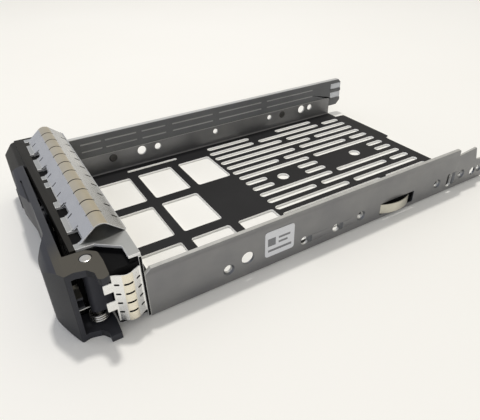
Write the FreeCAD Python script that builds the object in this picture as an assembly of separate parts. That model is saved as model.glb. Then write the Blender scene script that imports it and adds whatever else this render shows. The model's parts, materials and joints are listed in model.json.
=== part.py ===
import FreeCAD, Part
import math
import os

# Hot swap drive caddy: a folded steel tray behind a moulded bezel with a hinged lever.
# +X is the side with the lever's hinge, +Y runs to the rear, +Z is up.
# The origin is on the tray's underside, in the middle of its width and length.
# Distances named "behind" are counted to the rear from the front edge of the bezel's top plate.
# Heights are counted up from the tray's underside.

V = FreeCAD.Vector

# Frame
origin_behind = 100.0
drawing_margin = 1.0
round_flat_count = 12
slot_flat_count = 4

# Drive and tray sheet
drive_width = 101.6
drive_side_gap = 0.2
drive_hole_pitch = 101.6
sheet = 1.0
bend_radius = 1.4
near_wall_height = 20.5
far_wall_height = 11.3
wall_start = 17.0
near_wall_end = 189.5
far_wall_setback = 9.5
floor_setback = 6.5
floor_lip = 3.0
floor_lip_span = (8.0, 46.0)
floor_far_notch = 6.9
tongue_inset = 15.0
tongue_depth = 9.0
tongue_gap = 0.15

# Rear end of the near wall: distances before its end and drops from its top edge
rear_step = (23.1, 21.9, 3.2)
rear_lug = (10.3, 2.0, 8.1, 8.8)
rear_tail_drop = 9.6
rear_tail_start = 0.8
front_corner_drop = 2.0

# Floor windows and slots
window_margins = (12.0, 4.5)
window_bridge = 6.0
window_columns = 3
window_length = 17.5
window_pitch = 22.0
window_first = 32.7
window_rows = 3
window_corner = 1.0
solid_window = (1, 2)
slot_width = 2.9
slot_margins = (5.4, 3.9)
slot_start = 87.4
slot_end = 177.3
slot_bridge = 4.0
side_slot = (43.0, 70.0)
side_slot_width = 1.6
floor_hole_radius = 2.8
floor_holes = (106.9, 154.2)

# Side wall holes
drive_hole_height = 8.4
drive_hole_radius = 1.7
drive_hole_first = 62.6
far_large_holes = ((53.7, 8.2), (157.7, 8.2))
far_large_radius = 2.3
far_small_holes = ((97.2, 8.2), (133.9, 8.2))
far_small_radius = 1.4
near_screw_holes = ((46.4, 6.5), (108.7, 6.2), (155.2, 6.4), (172.1, 6.5), (185.7, 6.2))
near_screw_radius = 1.2
near_large_hole = (54.2, 8.4)
near_large_radius = 2.5
near_keyed_holes = ((79.6, 5.7), (95.4, 5.6))
near_keyed_radius = 1.6
key_offset = 2.4
key_size = (2.6, 3.4)
countersink_depth = 0.55
near_slot = (163.4, 164.9, 2.4, 10.2)
near_tail_hole = (180.6, 5.6)
near_tail_radius = 1.9

# Leaf spring in the near wall
leaf_window = (119.8, 139.8, 2.6, 7.9)
leaf_thickness = 0.4
leaf_height = 4.4
leaf_inset = 0.7
leaf_tip_inset = 0.5
leaf_bow = 2.3
leaf_crest = 9.2
leaf_reach = 16.4

# Bezel
bezel_height = 27.0
plate = 1.0
bezel_wall = 2.0
bezel_rib = 1.4
near_step = 11.4
strip_overhang = 3.2
strip_width = 0.7
strip_gap = 0.6
recess_depth = 1.2
recess_edge = 0.4
bay_front = 0.6
bay_far_margin = 5.8
bay_count = 4
plate_far_inset = 1.6
plate_near_inset = 0.6
body_inset = 0.3
ear_cut = (6.4, 13.2)
shield_foot_gap = 0.2
shield_far_inset = 3.3
shield_notch = (1.7, 3.0)
clip_windows = ((-34.9, -29.3, 3.2), (-19.2, -12.8, 2.8), (13.0, 20.1, 2.5), (29.7, 37.0, 2.3))
filled_windows = ((-49.0, -45.2, 3.0), (-9.9, -7.1, 2.7), (-2.9, 8.8, 2.9))
fill_gap = 0.3
vent_count = 9
vent_width = 3.4
vent_pitch = 6.4
vent_margin = 5.0
hex_flat = 4.4
hex_corners = 6
hex_pitch = 6.4
hex_rows = 3
hex_columns = 14

# End block with the status lights
end_block_width = 26.8
end_block_depth = 8.3
end_block_shoulder = (4.8, 1.0)
end_block_brow = (1.5, 0.8)
end_block_drop = 5.6
end_block_foot = (5.4, 8.5)
end_block_radii = (1.2, 2.5, 1.5, 2.0, 1.0)

# Near block behind the lever's ear
near_block_inset = 0.4
near_block_front = 6.9
near_block_corner = 1.0
near_block_overlap = 2.0
near_pocket_inset = 0.8

# Contact springs
spring_sheet = 0.3
top_spring_span = (2.2, 2.5)
top_spring_feet = (2.3, 17.4)
top_spring_rise = 5.15
top_spring_crown = 3.45
top_fingers = 11
top_crown_slot = (7.3, 12.4)
top_foot_slots = ((3.0, 4.4), (15.6, 16.9))
side_spring_feet = (6.9, 16.0)
side_spring_inset = (1.3, 1.6)
side_spring_rise = 2.2
side_spring_crown = 3.3
side_fingers = 5
side_crown_slot = (10.2, 12.7)
side_foot_slots = ((7.6, 8.7), (14.3, 15.3))
finger_gap = 0.5
side_tabs = ((16.4, 19.9), (9.2, 12.8))
side_tab_reach = 2.8
side_tab_root = 0.5

# Lever and its hinge
pin_inset = 6.7
pin_behind = 2.3
pin_radius = 1.5
pin_head_radius = 1.8
pin_head_gap = 0.15
pin_head_depth = 0.8
pin_foot = 0.3
hinge_clearance = 0.05
knuckle_radius = 2.2
knuckle_low = 6.8
lever_end_gap = 0.4
lever_back = 3.6
flange = 2.4
flange_gap = 0.4
skin = 1.6
skin_edge = 0.4
button_face = 8.4
waist_face = 5.9
grip_face = 9.9
corner_face = 5.0
lever_rib_offsets = (-1.9, 1.7)
lever_rib_span = (3.7, 2.9)
lever_rib_depth = (9.4, 1.5)
lever_rib = 0.8
lever_slot_count = 4
lever_slot_first = 41.8
lever_slot_pitch = 3.8
lever_slot_width = 2.0
lever_slot_half = 7.0
lever_slot_depth = (12.0, 4.2)

# Plan outline of the lever's front, from its far end: distance before the pin, face, radius
front_outline = (
    (51.8, button_face, 3.0),
    (41.3, waist_face, 3.0),
    (19.3, waist_face, 5.0),
    (11.1, grip_face, 5.0),
    (4.7, grip_face, 4.0),
    (-5.3, corner_face, 0.6),
)
front_end_radius = 0.8

# Plan outline of the lever's ear and hook about the pin: across, to the rear, radius
ear_outline = (
    (4.7, -4.7, 2.0),
    (5.6, -1.1, 1.5),
    (7.9, 0.5, 1.0),
    (12.1, 0.5, 1.4),
    (11.1, 3.9, 1.6),
    (3.7, 4.2, 3.0),
    (-1.3, 3.9, 2.2),
    (-3.9, 0.7, 1.5),
)
ear_shoulder = (4.1, 0.4)
hook_foot_setback = 2.3

# Rounded upper and lower front edge of the lever: how far before the plate, drop
crown_outline = ((4.4, 0.0), (8.3, 1.75), (10.3, 7.0))
crown_clear = 16.0

# Finger ridge along the lever's upper front: where its slope starts and ends, and the line above it
ridge_low = 16.5
ridge_foot = 12.0
ridge_line = (11.8, 34.8)
ridge_line_depth = (6.65, 6.15)
ridge_line_bottom = 1.3

# Release button, latch and their springs
latch_height = 19.7
button_offset = 6.8
button_width = 12.0
button_height = 4.4
button_radius = 1.4
button_chamfer = 0.4
button_proud = 0.4
button_gap = 0.25
button_play = 0.05
button_flange = 0.8
button_lip = 0.7
prong_offset = 8.0
prong_width = 4.0
prong_height = 3.2
prong_gap = 0.3
ramp_gap = 0.15
slider_depth = (4.4, 2.6)
slider_height = 5.0
slider_offset = 21.8
slider_window = 1.6
window_overrun = 0.5
catch_depth = 1.6
catch_gap = 0.4
latch_reach = 0.2
back_plate_depth = (2.5, 1.7)
back_plate_offset = 0.2
back_plate_width = 36.0
back_plate_height = 12.0
back_plate_drop = 2.2
screw_offset = 32.2
screw_spacing = 6.0
screw_radius = 0.8
screw_gap = 0.1
screw_depth = 4.6
screw_head = (1.5, 0.35)
boss_radius = 2.2
boss_front = 5.2
guide_front = 7.2
guide_size = (5.0, 6.8)
stop_offset = 29.0
stop_size = (1.8, 6.8)
latch_folds = 8
latch_strip = 0.55
latch_strip_height = 3.0
latch_strip_gap = 0.2
torsion_wire = 0.7
torsion_gap = 0.12
torsion_radius = 2.65
torsion_turns = 3
torsion_lift = 0.35
torsion_legs = (4.3, 9.0)
wire_flat_count = 5

# Light pipes and their carrier
carrier_thickness = 2.0
carrier_top = 22.3
carrier_gap = 0.1
carrier_inset = 0.05
carrier_end = 188.6
carrier_skin = 1.15
carrier_end_chamfers = (2.4, 2.6)
carrier_edge_radii = (0.5, 0.8)
carrier_joint = 0.5
pipe_height = 2.9
pipe_levels = (17.9, 13.5)
pipe_gap = 0.15
pipe_inset = 0.1
pipe_end_inset = 0.25
fork_start = 180.3
fork_gaps = ((16.3, 20.0), (10.4, 14.4))
skirt_bottom = 5.8
skirt_start = 168.0
lug_stations = (38.4, 143.1)
lug_half_width = 5.0
lug_drop = 3.2
lug_foot = 3.0
groove_levels = (18.4, 14.6)
groove_size = (0.35, 0.6)
groove_spans = ((24, 34), (36, 52), (55, 68), (72, 96), (100, 128), (132, 166))
rivet_radius = 1.3
rivet_head_radius = 2.1
rivet_head = 0.8
carrier_rivet_head = 0.5
lens_inset = 3.4
lens_size = (5.6, 3.0)
lens_depth = 1.8
lens_recess = 0.15
lens_gap = 0.1
lens_flat_count = 8
pipe_head_inset = (0.4, 5.6)
pipe_head_back = 6.0
pipe_channel_front = 6.3

# Label and floor rivets
label_span = (61.4, 74.4, 5.0, 16.2)
label_thickness = 0.12
floor_rivets = (-32.5, 8.0, 30.0)
floor_rivet_behind = 12.4
floor_rivet_foot = 0.05

# Derived places
half_inner = drive_width / 2 + drive_side_gap
half_outer = half_inner + sheet
drive_hole_last = drive_hole_first + drive_hole_pitch
far_wall_end = near_wall_end - far_wall_setback
floor_end = near_wall_end - floor_setback
mid_height = bezel_height / 2
bezel_top = bezel_height - plate
bezel_rear = wall_start - plate
carrier_outer_x = -half_outer - carrier_thickness
bezel_near_x = half_outer - near_step
plate_far_x = carrier_outer_x + plate_far_inset
plate_near_x = half_outer - plate_near_inset
step_x = bezel_near_x - strip_gap
near_block_x = half_outer - near_block_inset
near_block_low = flange + flange_gap
near_block_high = bezel_height - flange - flange_gap
end_block_near_x = carrier_outer_x + end_block_width
lever_far_x = end_block_near_x + lever_end_gap
pin_x = half_outer - pin_inset
button_far_x = lever_far_x + button_offset
button_near_x = button_far_x + button_width
slider_near_x = lever_far_x + slider_offset
screw_x = lever_far_x + screw_offset
back_plate_mid = latch_height - back_plate_drop
screw_heights = (back_plate_mid - screw_spacing / 2, back_plate_mid + screw_spacing / 2)
prong_x = button_far_x + prong_offset
skin_back = button_face - skin
lens_x = carrier_outer_x + lens_inset


def behind(distance):
    """Station on the Y axis for a distance behind the bezel plate's front edge."""
    return distance - origin_behind


def before(distance):
    """Station on the Y axis for a distance before the bezel plate's front edge."""
    return behind(-distance)


def spot(plane, a, b, level):
    """Point in one of three drawing planes: plan (x, y), side (y, z) or front (x, z)."""
    if plane == "plan":
        return V(a, b, level)
    if plane == "side":
        return V(level, a, b)
    return V(a, level, b)


def outline(corners, plane, level):
    """Closed wire through corners (a, b) or (a, b, radius), with an arc at each radius."""
    points = [spot(plane, c[0], c[1], level) for c in corners]
    radii = [c[2] if len(c) > 2 else 0.0 for c in corners]
    ends = []
    for i, corner in enumerate(points):
        back = (points[i - 1] - corner).normalize()
        ahead = (points[(i + 1) % len(points)] - corner).normalize()
        if radii[i] == 0.0:
            ends.append((corner, corner, None))
            continue
        half = back.getAngle(ahead) / 2
        reach = radii[i] / math.tan(half)
        middle = (back + ahead).normalize()
        crest = corner + middle * (radii[i] / math.sin(half) - radii[i])
        ends.append((corner + back * reach, corner + ahead * reach, crest))
    edges = []
    for i, (start, end, crest) in enumerate(ends):
        if crest is not None:
            edges.append(Part.Arc(start, crest, end).toShape())
        following = ends[(i + 1) % len(ends)][0]
        if end.distanceToPoint(following) > 1e-6:
            edges.append(Part.LineSegment(end, following).toShape())
    return Part.Wire(edges)


def slab(corners, plane, low, high):
    """Solid between two levels of a drawing plane, with the given outline."""
    face = Part.Face(outline(corners, plane, low))
    return face.extrude(spot(plane, 0, 0, high) - spot(plane, 0, 0, low))


def box(x, y, z):
    """Box between pairs of limits along each axis, given in either order."""
    lows = [min(x), min(y), min(z)]
    sizes = [abs(x[1] - x[0]), abs(y[1] - y[0]), abs(z[1] - z[0])]
    return Part.makeBox(*sizes, V(*lows))


def rectangle(a, b, radius=0.0):
    """Four corners of a rectangle between pairs of limits."""
    return [(a[0], b[0], radius), (a[1], b[0], radius), (a[1], b[1], radius), (a[0], b[1], radius)]


def rod(radius, start, end):
    """Cylinder between two points."""
    return Part.makeCylinder(radius, start.distanceToPoint(end), start, end - start)


def ring(a, b, radius, flats=round_flat_count):
    """Corners of a small round drawn with a few flats."""
    turns = [2 * math.pi * (k + 0.5) / flats for k in range(flats)]
    return [(a + radius * math.cos(t), b + radius * math.sin(t)) for t in turns]


def peg(plane, a, b, radius, low, high):
    """Small round pin or hole, drawn with a few flats."""
    return slab(ring(a, b, radius), plane, low, high)


def sink(plane, a, b, radii, low, high):
    """Tapered round between two levels, drawn with a few flats."""
    first = outline(ring(a, b, radii[0]), plane, low)
    second = outline(ring(a, b, radii[1]), plane, high)
    return Part.makeLoft([first, second], True, True)


def slot(plane, a, b, low, high):
    """Slot with rounded ends that runs along the longer of its two spans."""
    half = min(a[1] - a[0], b[1] - b[0]) / 2
    turns = [math.pi * k / slot_flat_count for k in range(slot_flat_count + 1)]
    if a[1] - a[0] > b[1] - b[0]:
        middle = (b[0] + b[1]) / 2
        first = [(a[1] - half + half * math.sin(t), middle - half * math.cos(t)) for t in turns]
        second = [(a[0] + half - half * math.sin(t), middle + half * math.cos(t)) for t in turns]
    else:
        middle = (a[0] + a[1]) / 2
        first = [(middle + half * math.cos(t), b[1] - half + half * math.sin(t)) for t in turns]
        second = [(middle - half * math.cos(t), b[0] + half - half * math.sin(t)) for t in turns]
    return slab(first + second, plane, low, high)


def fuse(first, others):
    """One solid from touching pieces."""
    return first.fuse(list(others)).removeSplitter()


def cut(first, others):
    """A solid without the space of the others."""
    return first.cut(list(others))


def slot_rows():
    """Spans of the floor slots, row by row from the far side."""
    def split(*bridges):
        stops = [slot_start]
        for middle in bridges:
            stops += [middle - slot_bridge / 2, middle + slot_bridge / 2]
        stops.append(slot_end)
        return list(zip(stops[0::2], stops[1::2]))

    kinds = {
        "three": split(116.8, 163.3),
        "two": split(132.0),
        "long": split(147.5),
        "hole": [(slot_start, 99.0), (118.7, 130.7), (166.7, slot_end)],
        "edge": [(89.0, 115.5), (134.6, 160.5)],
    }
    half = ["edge", "three", "two", "long", "two", "three", "two", "hole"]
    return [kinds[kind] for kind in half + half[::-1]]


def floor_cutters():
    """Windows, slots and holes of the tray's floor."""
    through = (-drawing_margin, sheet + drawing_margin)
    cutters = []
    first_x = -half_inner + window_margins[0]
    width = (half_inner - window_margins[1] - first_x + window_bridge) / window_columns - window_bridge
    for column in range(window_columns):
        for row in range(window_rows):
            if (column, row) == solid_window:
                continue
            x = first_x + column * (width + window_bridge)
            y = behind(window_first + row * window_pitch)
            corners = rectangle((x, x + width), (y - window_length / 2, y + window_length / 2))
            cutters.append(slab(clip_corners(corners, window_corner), "plan", *through))
    rows = slot_rows()
    far_x = -half_inner + slot_margins[0]
    pitch = (half_inner - slot_margins[1] - far_x) / (len(rows) - 1)
    for row, spans in enumerate(rows):
        x = far_x + row * pitch
        across = (x - slot_width / 2, x + slot_width / 2)
        for start, end in spans:
            cutters.append(slot("plan", across, (behind(start), behind(end)), *through))
    across = (far_x - side_slot_width / 2, far_x + side_slot_width / 2)
    cutters.append(slot("plan", across, (behind(side_slot[0]), behind(side_slot[1])), *through))
    middle = far_x + pitch * (len(rows) - 1) / 2
    for station in floor_holes:
        cutters.append(peg("plan", middle, behind(station), floor_hole_radius, *through))
    for x in floor_rivets:
        cutters.append(peg("plan", x, behind(floor_rivet_behind), rivet_radius, *through))
    return cutters


def clip_corners(corners, size):
    """Rectangle corners, each replaced by two that cut it off."""
    (left, low), (right, high) = corners[0][:2], corners[2][:2]
    return [
        (left + size, low), (right - size, low), (right, low + size), (right, high - size),
        (right - size, high), (left + size, high), (left, high - size), (left, low + size),
    ]


def wall_hole(side, station, height, radius, sunk=False):
    """Hole through one side wall, countersunk from outside where asked."""
    through = (side * (half_inner - drawing_margin), side * (half_outer + drawing_margin))
    hole = peg("side", behind(station), height, radius, *through)
    if not sunk:
        return hole
    levels = (side * (half_outer - countersink_depth), side * half_outer)
    return hole.fuse(sink("side", behind(station), height, (radius, radius + countersink_depth), *levels))


def wall_cutters():
    """Holes, the leaf window and the keyed holes of both side walls."""
    cutters = []
    for station in (drive_hole_first, drive_hole_last):
        start = V(-half_outer - drawing_margin, behind(station), drive_hole_height)
        cutters.append(rod(drive_hole_radius, start, start + V(sheet + 2 * drawing_margin, 0, 0)))
    for station, height in far_large_holes:
        cutters.append(wall_hole(-1, station, height, far_large_radius))
    for station, height in far_small_holes:
        cutters.append(wall_hole(-1, station, height, far_small_radius))
    for station in lug_stations:
        cutters.append(wall_hole(-1, station, far_wall_height - lug_drop, rivet_radius))
    for station, height in near_screw_holes:
        cutters.append(wall_hole(1, station, height, near_screw_radius, sunk=True))
    cutters.append(wall_hole(1, *near_large_hole, near_large_radius))
    cutters.append(wall_hole(1, *near_tail_hole, near_tail_radius))
    through = (half_inner - drawing_margin, half_outer + drawing_margin)
    for station, height in near_keyed_holes:
        cutters.append(wall_hole(1, station, height, near_keyed_radius, sunk=True))
        y = behind(station + key_offset)
        half = key_size[1] / 2
        cutters.append(box(through, (y, y + key_size[0]), (height - half, height + half)))
    start, end, low, high = near_slot
    cutters.append(slot("side", (behind(start), behind(end)), (low, high), *through))
    start, end, low, high = leaf_window
    cutters.append(box(through, (behind(start), behind(end)), (low, high)))
    return cutters


def rear_profile():
    """Space above and behind the near wall, with its stepped rear end."""
    top = near_wall_height
    end = behind(near_wall_end)
    step_start, step_end, step_drop = rear_step
    lug_end, lug_drop_front, lug_foot_end, lug_drop_rear = rear_lug
    corners = [
        (behind(wall_start) - drawing_margin, top + drawing_margin),
        (behind(wall_start) - drawing_margin, top - front_corner_drop - drawing_margin),
        (behind(wall_start), top - front_corner_drop),
        (behind(wall_start + front_corner_drop), top),
        (end - step_start, top, 1.0),
        (end - step_end, top - step_drop),
        (end - lug_end, top - lug_drop_front, 0.8),
        (end - lug_foot_end, top - lug_drop_rear, 0.6),
        (end - rear_tail_start, top - rear_tail_drop, 1.2),
        (end + drawing_margin, sheet),
        (end + drawing_margin, top + drawing_margin),
    ]
    return slab(corners, "side", half_inner - drawing_margin, half_outer + drawing_margin)


def make_tray():
    """Folded steel tray: floor, near wall, lower far wall and the tongue under the bezel."""
    inner_bend = bend_radius - sheet
    section = [
        (-half_outer, far_wall_height),
        (-half_outer, 0, bend_radius),
        (half_outer, 0, bend_radius),
        (half_outer, near_wall_height),
        (half_inner, near_wall_height),
        (half_inner, sheet, inner_bend),
        (-half_inner, sheet, inner_bend),
        (-half_inner, far_wall_height),
    ]
    tray = slab(section, "front", behind(wall_start), behind(near_wall_end))
    half = half_inner - tongue_inset
    tongue = box((-half, half), (behind(wall_start - tongue_depth), behind(wall_start)), (0, sheet))
    tray = fuse(tray, [tongue])

    top = near_wall_height
    rear = behind(near_wall_end) + drawing_margin
    lip_far = -half_inner + floor_lip_span[0]
    lip_near = -half_inner + floor_lip_span[1]
    notch_x = -half_inner + floor_far_notch
    far_end = box((-half_outer - drawing_margin, notch_x), (behind(far_wall_end), rear),
                  (-drawing_margin, top))
    floor_rear = slab([
        (notch_x, behind(far_wall_end)),
        (lip_far - 0.6, behind(far_wall_end)),
        (lip_far, behind(floor_end + floor_lip), 1.0),
        (lip_near, behind(floor_end + floor_lip), 1.0),
        (lip_near + 1.6, behind(floor_end)),
        (half_inner - bend_radius, behind(floor_end)),
        (half_inner - bend_radius, rear),
        (notch_x, rear),
    ], "plan", -drawing_margin, top)
    tray = cut(tray, [rear_profile(), far_end, floor_rear])
    return cut(tray, floor_cutters() + wall_cutters())


def leaf_line(offset):
    """Three points of the bowed leaf in plan, moved outwards by an offset."""
    start = leaf_window[0]
    inside = half_outer - leaf_inset + offset
    first = V(inside, behind(start), 0)
    crest = V(inside + leaf_bow, behind(start + leaf_crest), 0)
    last = V(inside + leaf_tip_inset, behind(start + leaf_reach), 0)
    return first, crest, last


def make_leaf():
    """Bowed leaf spring held in the near wall's window."""
    low, high = leaf_window[2:]
    inner = leaf_line(0.0)
    outer = leaf_line(leaf_thickness)
    wire = Part.Wire([
        Part.Arc(*inner).toShape(),
        Part.LineSegment(inner[2], outer[2]).toShape(),
        Part.Arc(outer[2], outer[1], outer[0]).toShape(),
        Part.LineSegment(outer[0], inner[0]).toShape(),
    ])
    leaf = Part.Face(wire).extrude(V(0, 0, leaf_height))
    leaf.translate(V(0, 0, (low + high - leaf_height) / 2))
    return leaf


def plate_corners(inset):
    """Plan outline of the bezel's top plate, cut away where the lever's ear swings."""
    rear = behind(wall_start)
    diagonal_x = step_x + (ear_cut[1] - ear_cut[0]) * 0.82
    return [
        (plate_far_x + inset, behind(strip_width)),
        (step_x - inset, behind(strip_width)),
        (step_x - inset, behind(ear_cut[0])),
        (diagonal_x - inset, behind(ear_cut[1] + inset)),
        (plate_near_x - inset, behind(ear_cut[1] + inset)),
        (plate_near_x - inset, rear - inset),
        (plate_far_x + inset, rear - inset),
    ]


def hexagons():
    """Honeycomb vent holes of the bezel's back plate."""
    rear = behind(wall_start)
    row_pitch = hex_pitch * math.sin(math.radians(60))
    first_x = -(hex_columns - 1) * hex_pitch / 2
    first_z = mid_height - (hex_rows - 1) * row_pitch / 2
    cutters = []
    for row in range(hex_rows):
        for column in range(hex_columns - row % 2):
            x = first_x + (column + 0.5 * (row % 2)) * hex_pitch
            corners = ring(x, first_z + row * row_pitch, hex_flat / math.sqrt(3), hex_corners)
            cutters.append(slab(corners, "front", rear - plate - drawing_margin, rear + drawing_margin))
    return cutters


def make_shield():
    """Folded steel plate over the bezel's top and down its back."""
    top = slab(plate_corners(0.0), "plan", bezel_top, bezel_height)
    rear = behind(wall_start)
    far_x = carrier_outer_x + shield_far_inset
    back = box((far_x, half_outer), (rear - plate, rear), (sheet + shield_foot_gap, bezel_top))
    cutters = hexagons()
    for start, end, depth in clip_windows + filled_windows:
        levels = (bezel_top - drawing_margin, bezel_height + drawing_margin)
        cutters.append(box((start, end), (behind(0), behind(depth)), levels))
    notch = box((far_x - drawing_margin, far_x + shield_notch[0]), (rear - 2 * plate, rear + drawing_margin),
                (0, bezel_top - shield_notch[1]))
    return cut(fuse(top, [back]), cutters + [notch])


def lever_front(shift):
    """Front contour of the lever in plan, moved to the rear by a skin's thickness."""
    corners = [(lever_far_x, before(button_face - shift), front_end_radius)]
    corners += [(pin_x - x, before(face - shift), radius) for x, face, radius in front_outline]
    return corners


def crown_cutter(shift, base, sign):
    """Space above or below the lever's rounded front edge."""
    start, middle, end = [V(0, before(face - shift), base - sign * drop) for face, drop in crown_outline]
    outside = (
        V(0, before(crown_clear), end.z),
        V(0, before(crown_clear), base + sign * drawing_margin),
        V(0, start.y, base + sign * drawing_margin),
    )
    wire = Part.Wire([
        Part.Arc(start, middle, end).toShape(),
        Part.LineSegment(end, outside[0]).toShape(),
        Part.LineSegment(outside[0], outside[1]).toShape(),
        Part.LineSegment(outside[1], outside[2]).toShape(),
        Part.LineSegment(outside[2], start).toShape(),
    ])
    far_x = lever_far_x - drawing_margin
    cutter = Part.Face(wire).extrude(V(half_outer + crown_clear - far_x, 0, 0))
    cutter.translate(V(far_x, 0, 0))
    return cutter


def ridge_cutter(shift):
    """Space below the lever's finger ridge, down to the level of the waist."""
    waist = before(waist_face - shift)
    corners = [
        (before(crown_clear), -drawing_margin),
        (waist, -drawing_margin),
        (waist, ridge_foot),
        (before(button_face - shift), ridge_low),
        (before(crown_clear), ridge_low),
    ]
    return slab(corners, "side", lever_far_x - drawing_margin, pin_x - front_outline[1][0] + ridge_foot)


def ear_corners():
    """Rear part of the lever's plan outline, with the locking hook."""
    corners = [(pin_x + x, behind(pin_behind) + y, radius) for x, y, radius in ear_outline]
    shoulder_x, radius = ear_shoulder
    corners.append((pin_x - shoulder_x, before(lever_back), radius))
    corners.append((lever_far_x, before(lever_back), radius))
    return corners


def lever_fittings():
    """Ribs of the grip, and the guide, stop and screw bosses of the latch."""
    back = before(back_plate_depth[0])
    ribs = []
    for offset in lever_rib_offsets:
        level = mid_height + offset
        span = (pin_x - lever_rib_span[0], pin_x + lever_rib_span[1])
        depth = (before(lever_rib_depth[0]), before(lever_rib_depth[1]))
        ribs.append(box(span, depth, (level - lever_rib / 2, level + lever_rib / 2)))
    limit = slab(lever_front(0.0) + ear_corners(), "plan", 0, bezel_height)
    ribs = [rib.common(limit) for rib in ribs]
    half = guide_size[1] / 2
    guide = box((lever_far_x, lever_far_x + guide_size[0]), (before(guide_front), back),
                (latch_height - half, latch_height + half))
    half = stop_size[1] / 2
    stop_x = lever_far_x + stop_offset
    stop = box((stop_x, stop_x + stop_size[0]), (before(boss_front), back),
               (latch_height - half, latch_height + half))
    bosses = [peg("front", screw_x, z, boss_radius, before(boss_front), back) for z in screw_heights]
    return ribs + [guide, stop] + bosses


def make_lever():
    """Hinged lever: a channel with two flanges, a front skin and hooks that lock in the chassis."""
    body = slab(lever_front(0.0) + ear_corners(), "plan", 0, bezel_height)
    body = cut(body, [crown_cutter(0, bezel_height, 1), crown_cutter(0, 0, -1), ridge_cutter(0)])

    inner = lever_front(skin)
    inner[0] = (lever_far_x + skin, inner[0][1])
    inner[-1] = (inner[-1][0], inner[-1][1])
    clear_x = half_outer + crown_clear
    rear = behind(wall_start)
    inner += [(clear_x, inner[-1][1]), (clear_x, rear), (lever_far_x + skin, rear)]
    hollow = slab(inner, "plan", flange, bezel_height - flange)
    edge_top = crown_cutter(skin, bezel_height - flange + skin_edge, 1)
    edge_bottom = crown_cutter(skin, flange - skin_edge, -1)
    body = cut(body, [cut(hollow, [edge_top, edge_bottom, ridge_cutter(skin)])])
    body = fuse(body, lever_fittings())

    axis = V(pin_x, behind(pin_behind), 0)
    above = V(0, 0, bezel_height + drawing_margin)
    cutters = [rod(pin_radius, axis - V(0, 0, drawing_margin), axis + above)]
    cutters.append(rod(pin_head_radius + pin_head_gap, axis + V(0, 0, bezel_height - pin_head_depth),
                       axis + above))
    cutters.append(button_opening())
    cutters.append(box([lever_far_x + reach for reach in ridge_line],
                       [before(depth) for depth in ridge_line_depth],
                       (bezel_height - ridge_line_bottom, bezel_height + drawing_margin)))
    half = slider_height / 2 + ramp_gap
    cutters.append(box((lever_far_x - drawing_margin, lever_far_x + guide_size[0] + drawing_margin),
                       (before(slider_depth[0] + ramp_gap), behind(0)),
                       (latch_height - half, latch_height + half)))
    for z in screw_heights:
        cutters.append(peg("front", screw_x, z, screw_radius, before(screw_depth + screw_gap), behind(0)))
    hook_x = pin_x + ear_outline[3][0] - hook_foot_setback
    cutters.append(box((hook_x, hook_x + crown_clear), (before(0), behind(wall_start)),
                       (-drawing_margin, mid_height)))
    for k in range(lever_slot_count):
        x = lever_far_x + lever_slot_first + k * lever_slot_pitch
        heights = (mid_height - lever_slot_half, mid_height + lever_slot_half)
        depth = (before(lever_slot_depth[0]), before(lever_slot_depth[1]))
        cutters.append(slot("front", (x, x + lever_slot_width), heights, *depth))
    return cut(body, cutters)


def button_corners(grow):
    """Front outline of the release button, grown by a margin."""
    half = button_height / 2 + grow
    across = (button_far_x - grow, button_near_x + grow)
    return rectangle(across, (latch_height - half, latch_height + half), button_radius + grow)


def button_opening():
    """Opening for the button in the lever's front skin."""
    return slab(button_corners(button_gap), "front", before(crown_clear), before(skin_back - prong_gap))


def ramp_prong():
    """Plan corners of the prong behind the button, whose slanted end pushes the latch aside."""
    back = before(skin_back - button_play - button_flange)
    tip = before(slider_depth[0] + ramp_gap)
    depth = tip - back
    near_x = prong_x + prong_width
    return [(prong_x, back), (near_x, back), (near_x - depth, tip), (prong_x, tip)]


def make_button():
    """Release button that slides inwards through the lever's skin."""
    front = before(button_face + button_proud)
    lip_front = before(skin_back - button_play)
    pad = slab(button_corners(0.0), "front", front, lip_front + button_play)
    rims = [e for e in pad.Edges if abs(e.BoundBox.YMax - front) < 1e-6]
    pad = pad.makeChamfer(button_chamfer, rims)
    lip_corners = clip_corners(button_corners(button_lip), button_radius / 2)
    lip = slab(lip_corners, "front", lip_front, lip_front + button_flange)
    half = prong_height / 2
    prong = slab(ramp_prong(), "plan", latch_height - half, latch_height + half)
    return fuse(pad, [lip, prong])


def make_slider():
    """Latch slider: its tongue locks the lever's far end, its ramp follows the button."""
    low, high = before(slider_depth[0]), before(slider_depth[1])
    tip_x = end_block_near_x + latch_reach
    half = slider_height / 2
    bar = box((tip_x, slider_near_x), (low, high), (latch_height - half, latch_height + half))
    corner_x = ramp_prong()[2][0]
    wall_x = corner_x + ramp_gap * (math.sqrt(2) - 1)
    far_x = prong_x - slider_window
    opening = [
        (far_x, low - window_overrun),
        (wall_x + window_overrun, low - window_overrun),
        (wall_x - (high - low) - window_overrun, high + window_overrun),
        (far_x, high + window_overrun),
    ]
    half = prong_height / 2 + prong_gap
    return cut(bar, [slab(opening, "plan", latch_height - half, latch_height + half)])


def make_back_plate():
    """Plate behind the lever that keeps the button and the latch in place."""
    far_x = lever_far_x + back_plate_offset
    half = back_plate_height / 2
    depth = (before(back_plate_depth[0]), before(back_plate_depth[1]))
    body = box((far_x, far_x + back_plate_width), depth, (back_plate_mid - half, back_plate_mid + half))
    through = (depth[0] - drawing_margin, depth[1] + drawing_margin)
    holes = [peg("front", screw_x, z, screw_radius + screw_gap, *through) for z in screw_heights]
    return cut(body, holes)


def make_back_plate_screws():
    """Two small screws through the lever's back plate."""
    seat = before(back_plate_depth[1])
    radius, depth = screw_head
    screws = []
    for z in screw_heights:
        shank = peg("front", screw_x, z, screw_radius, before(screw_depth), seat)
        head = peg("front", screw_x, z, radius, seat, seat + depth)
        screws.append(fuse(shank, [head]))
    return Part.makeCompound(screws)


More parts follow.
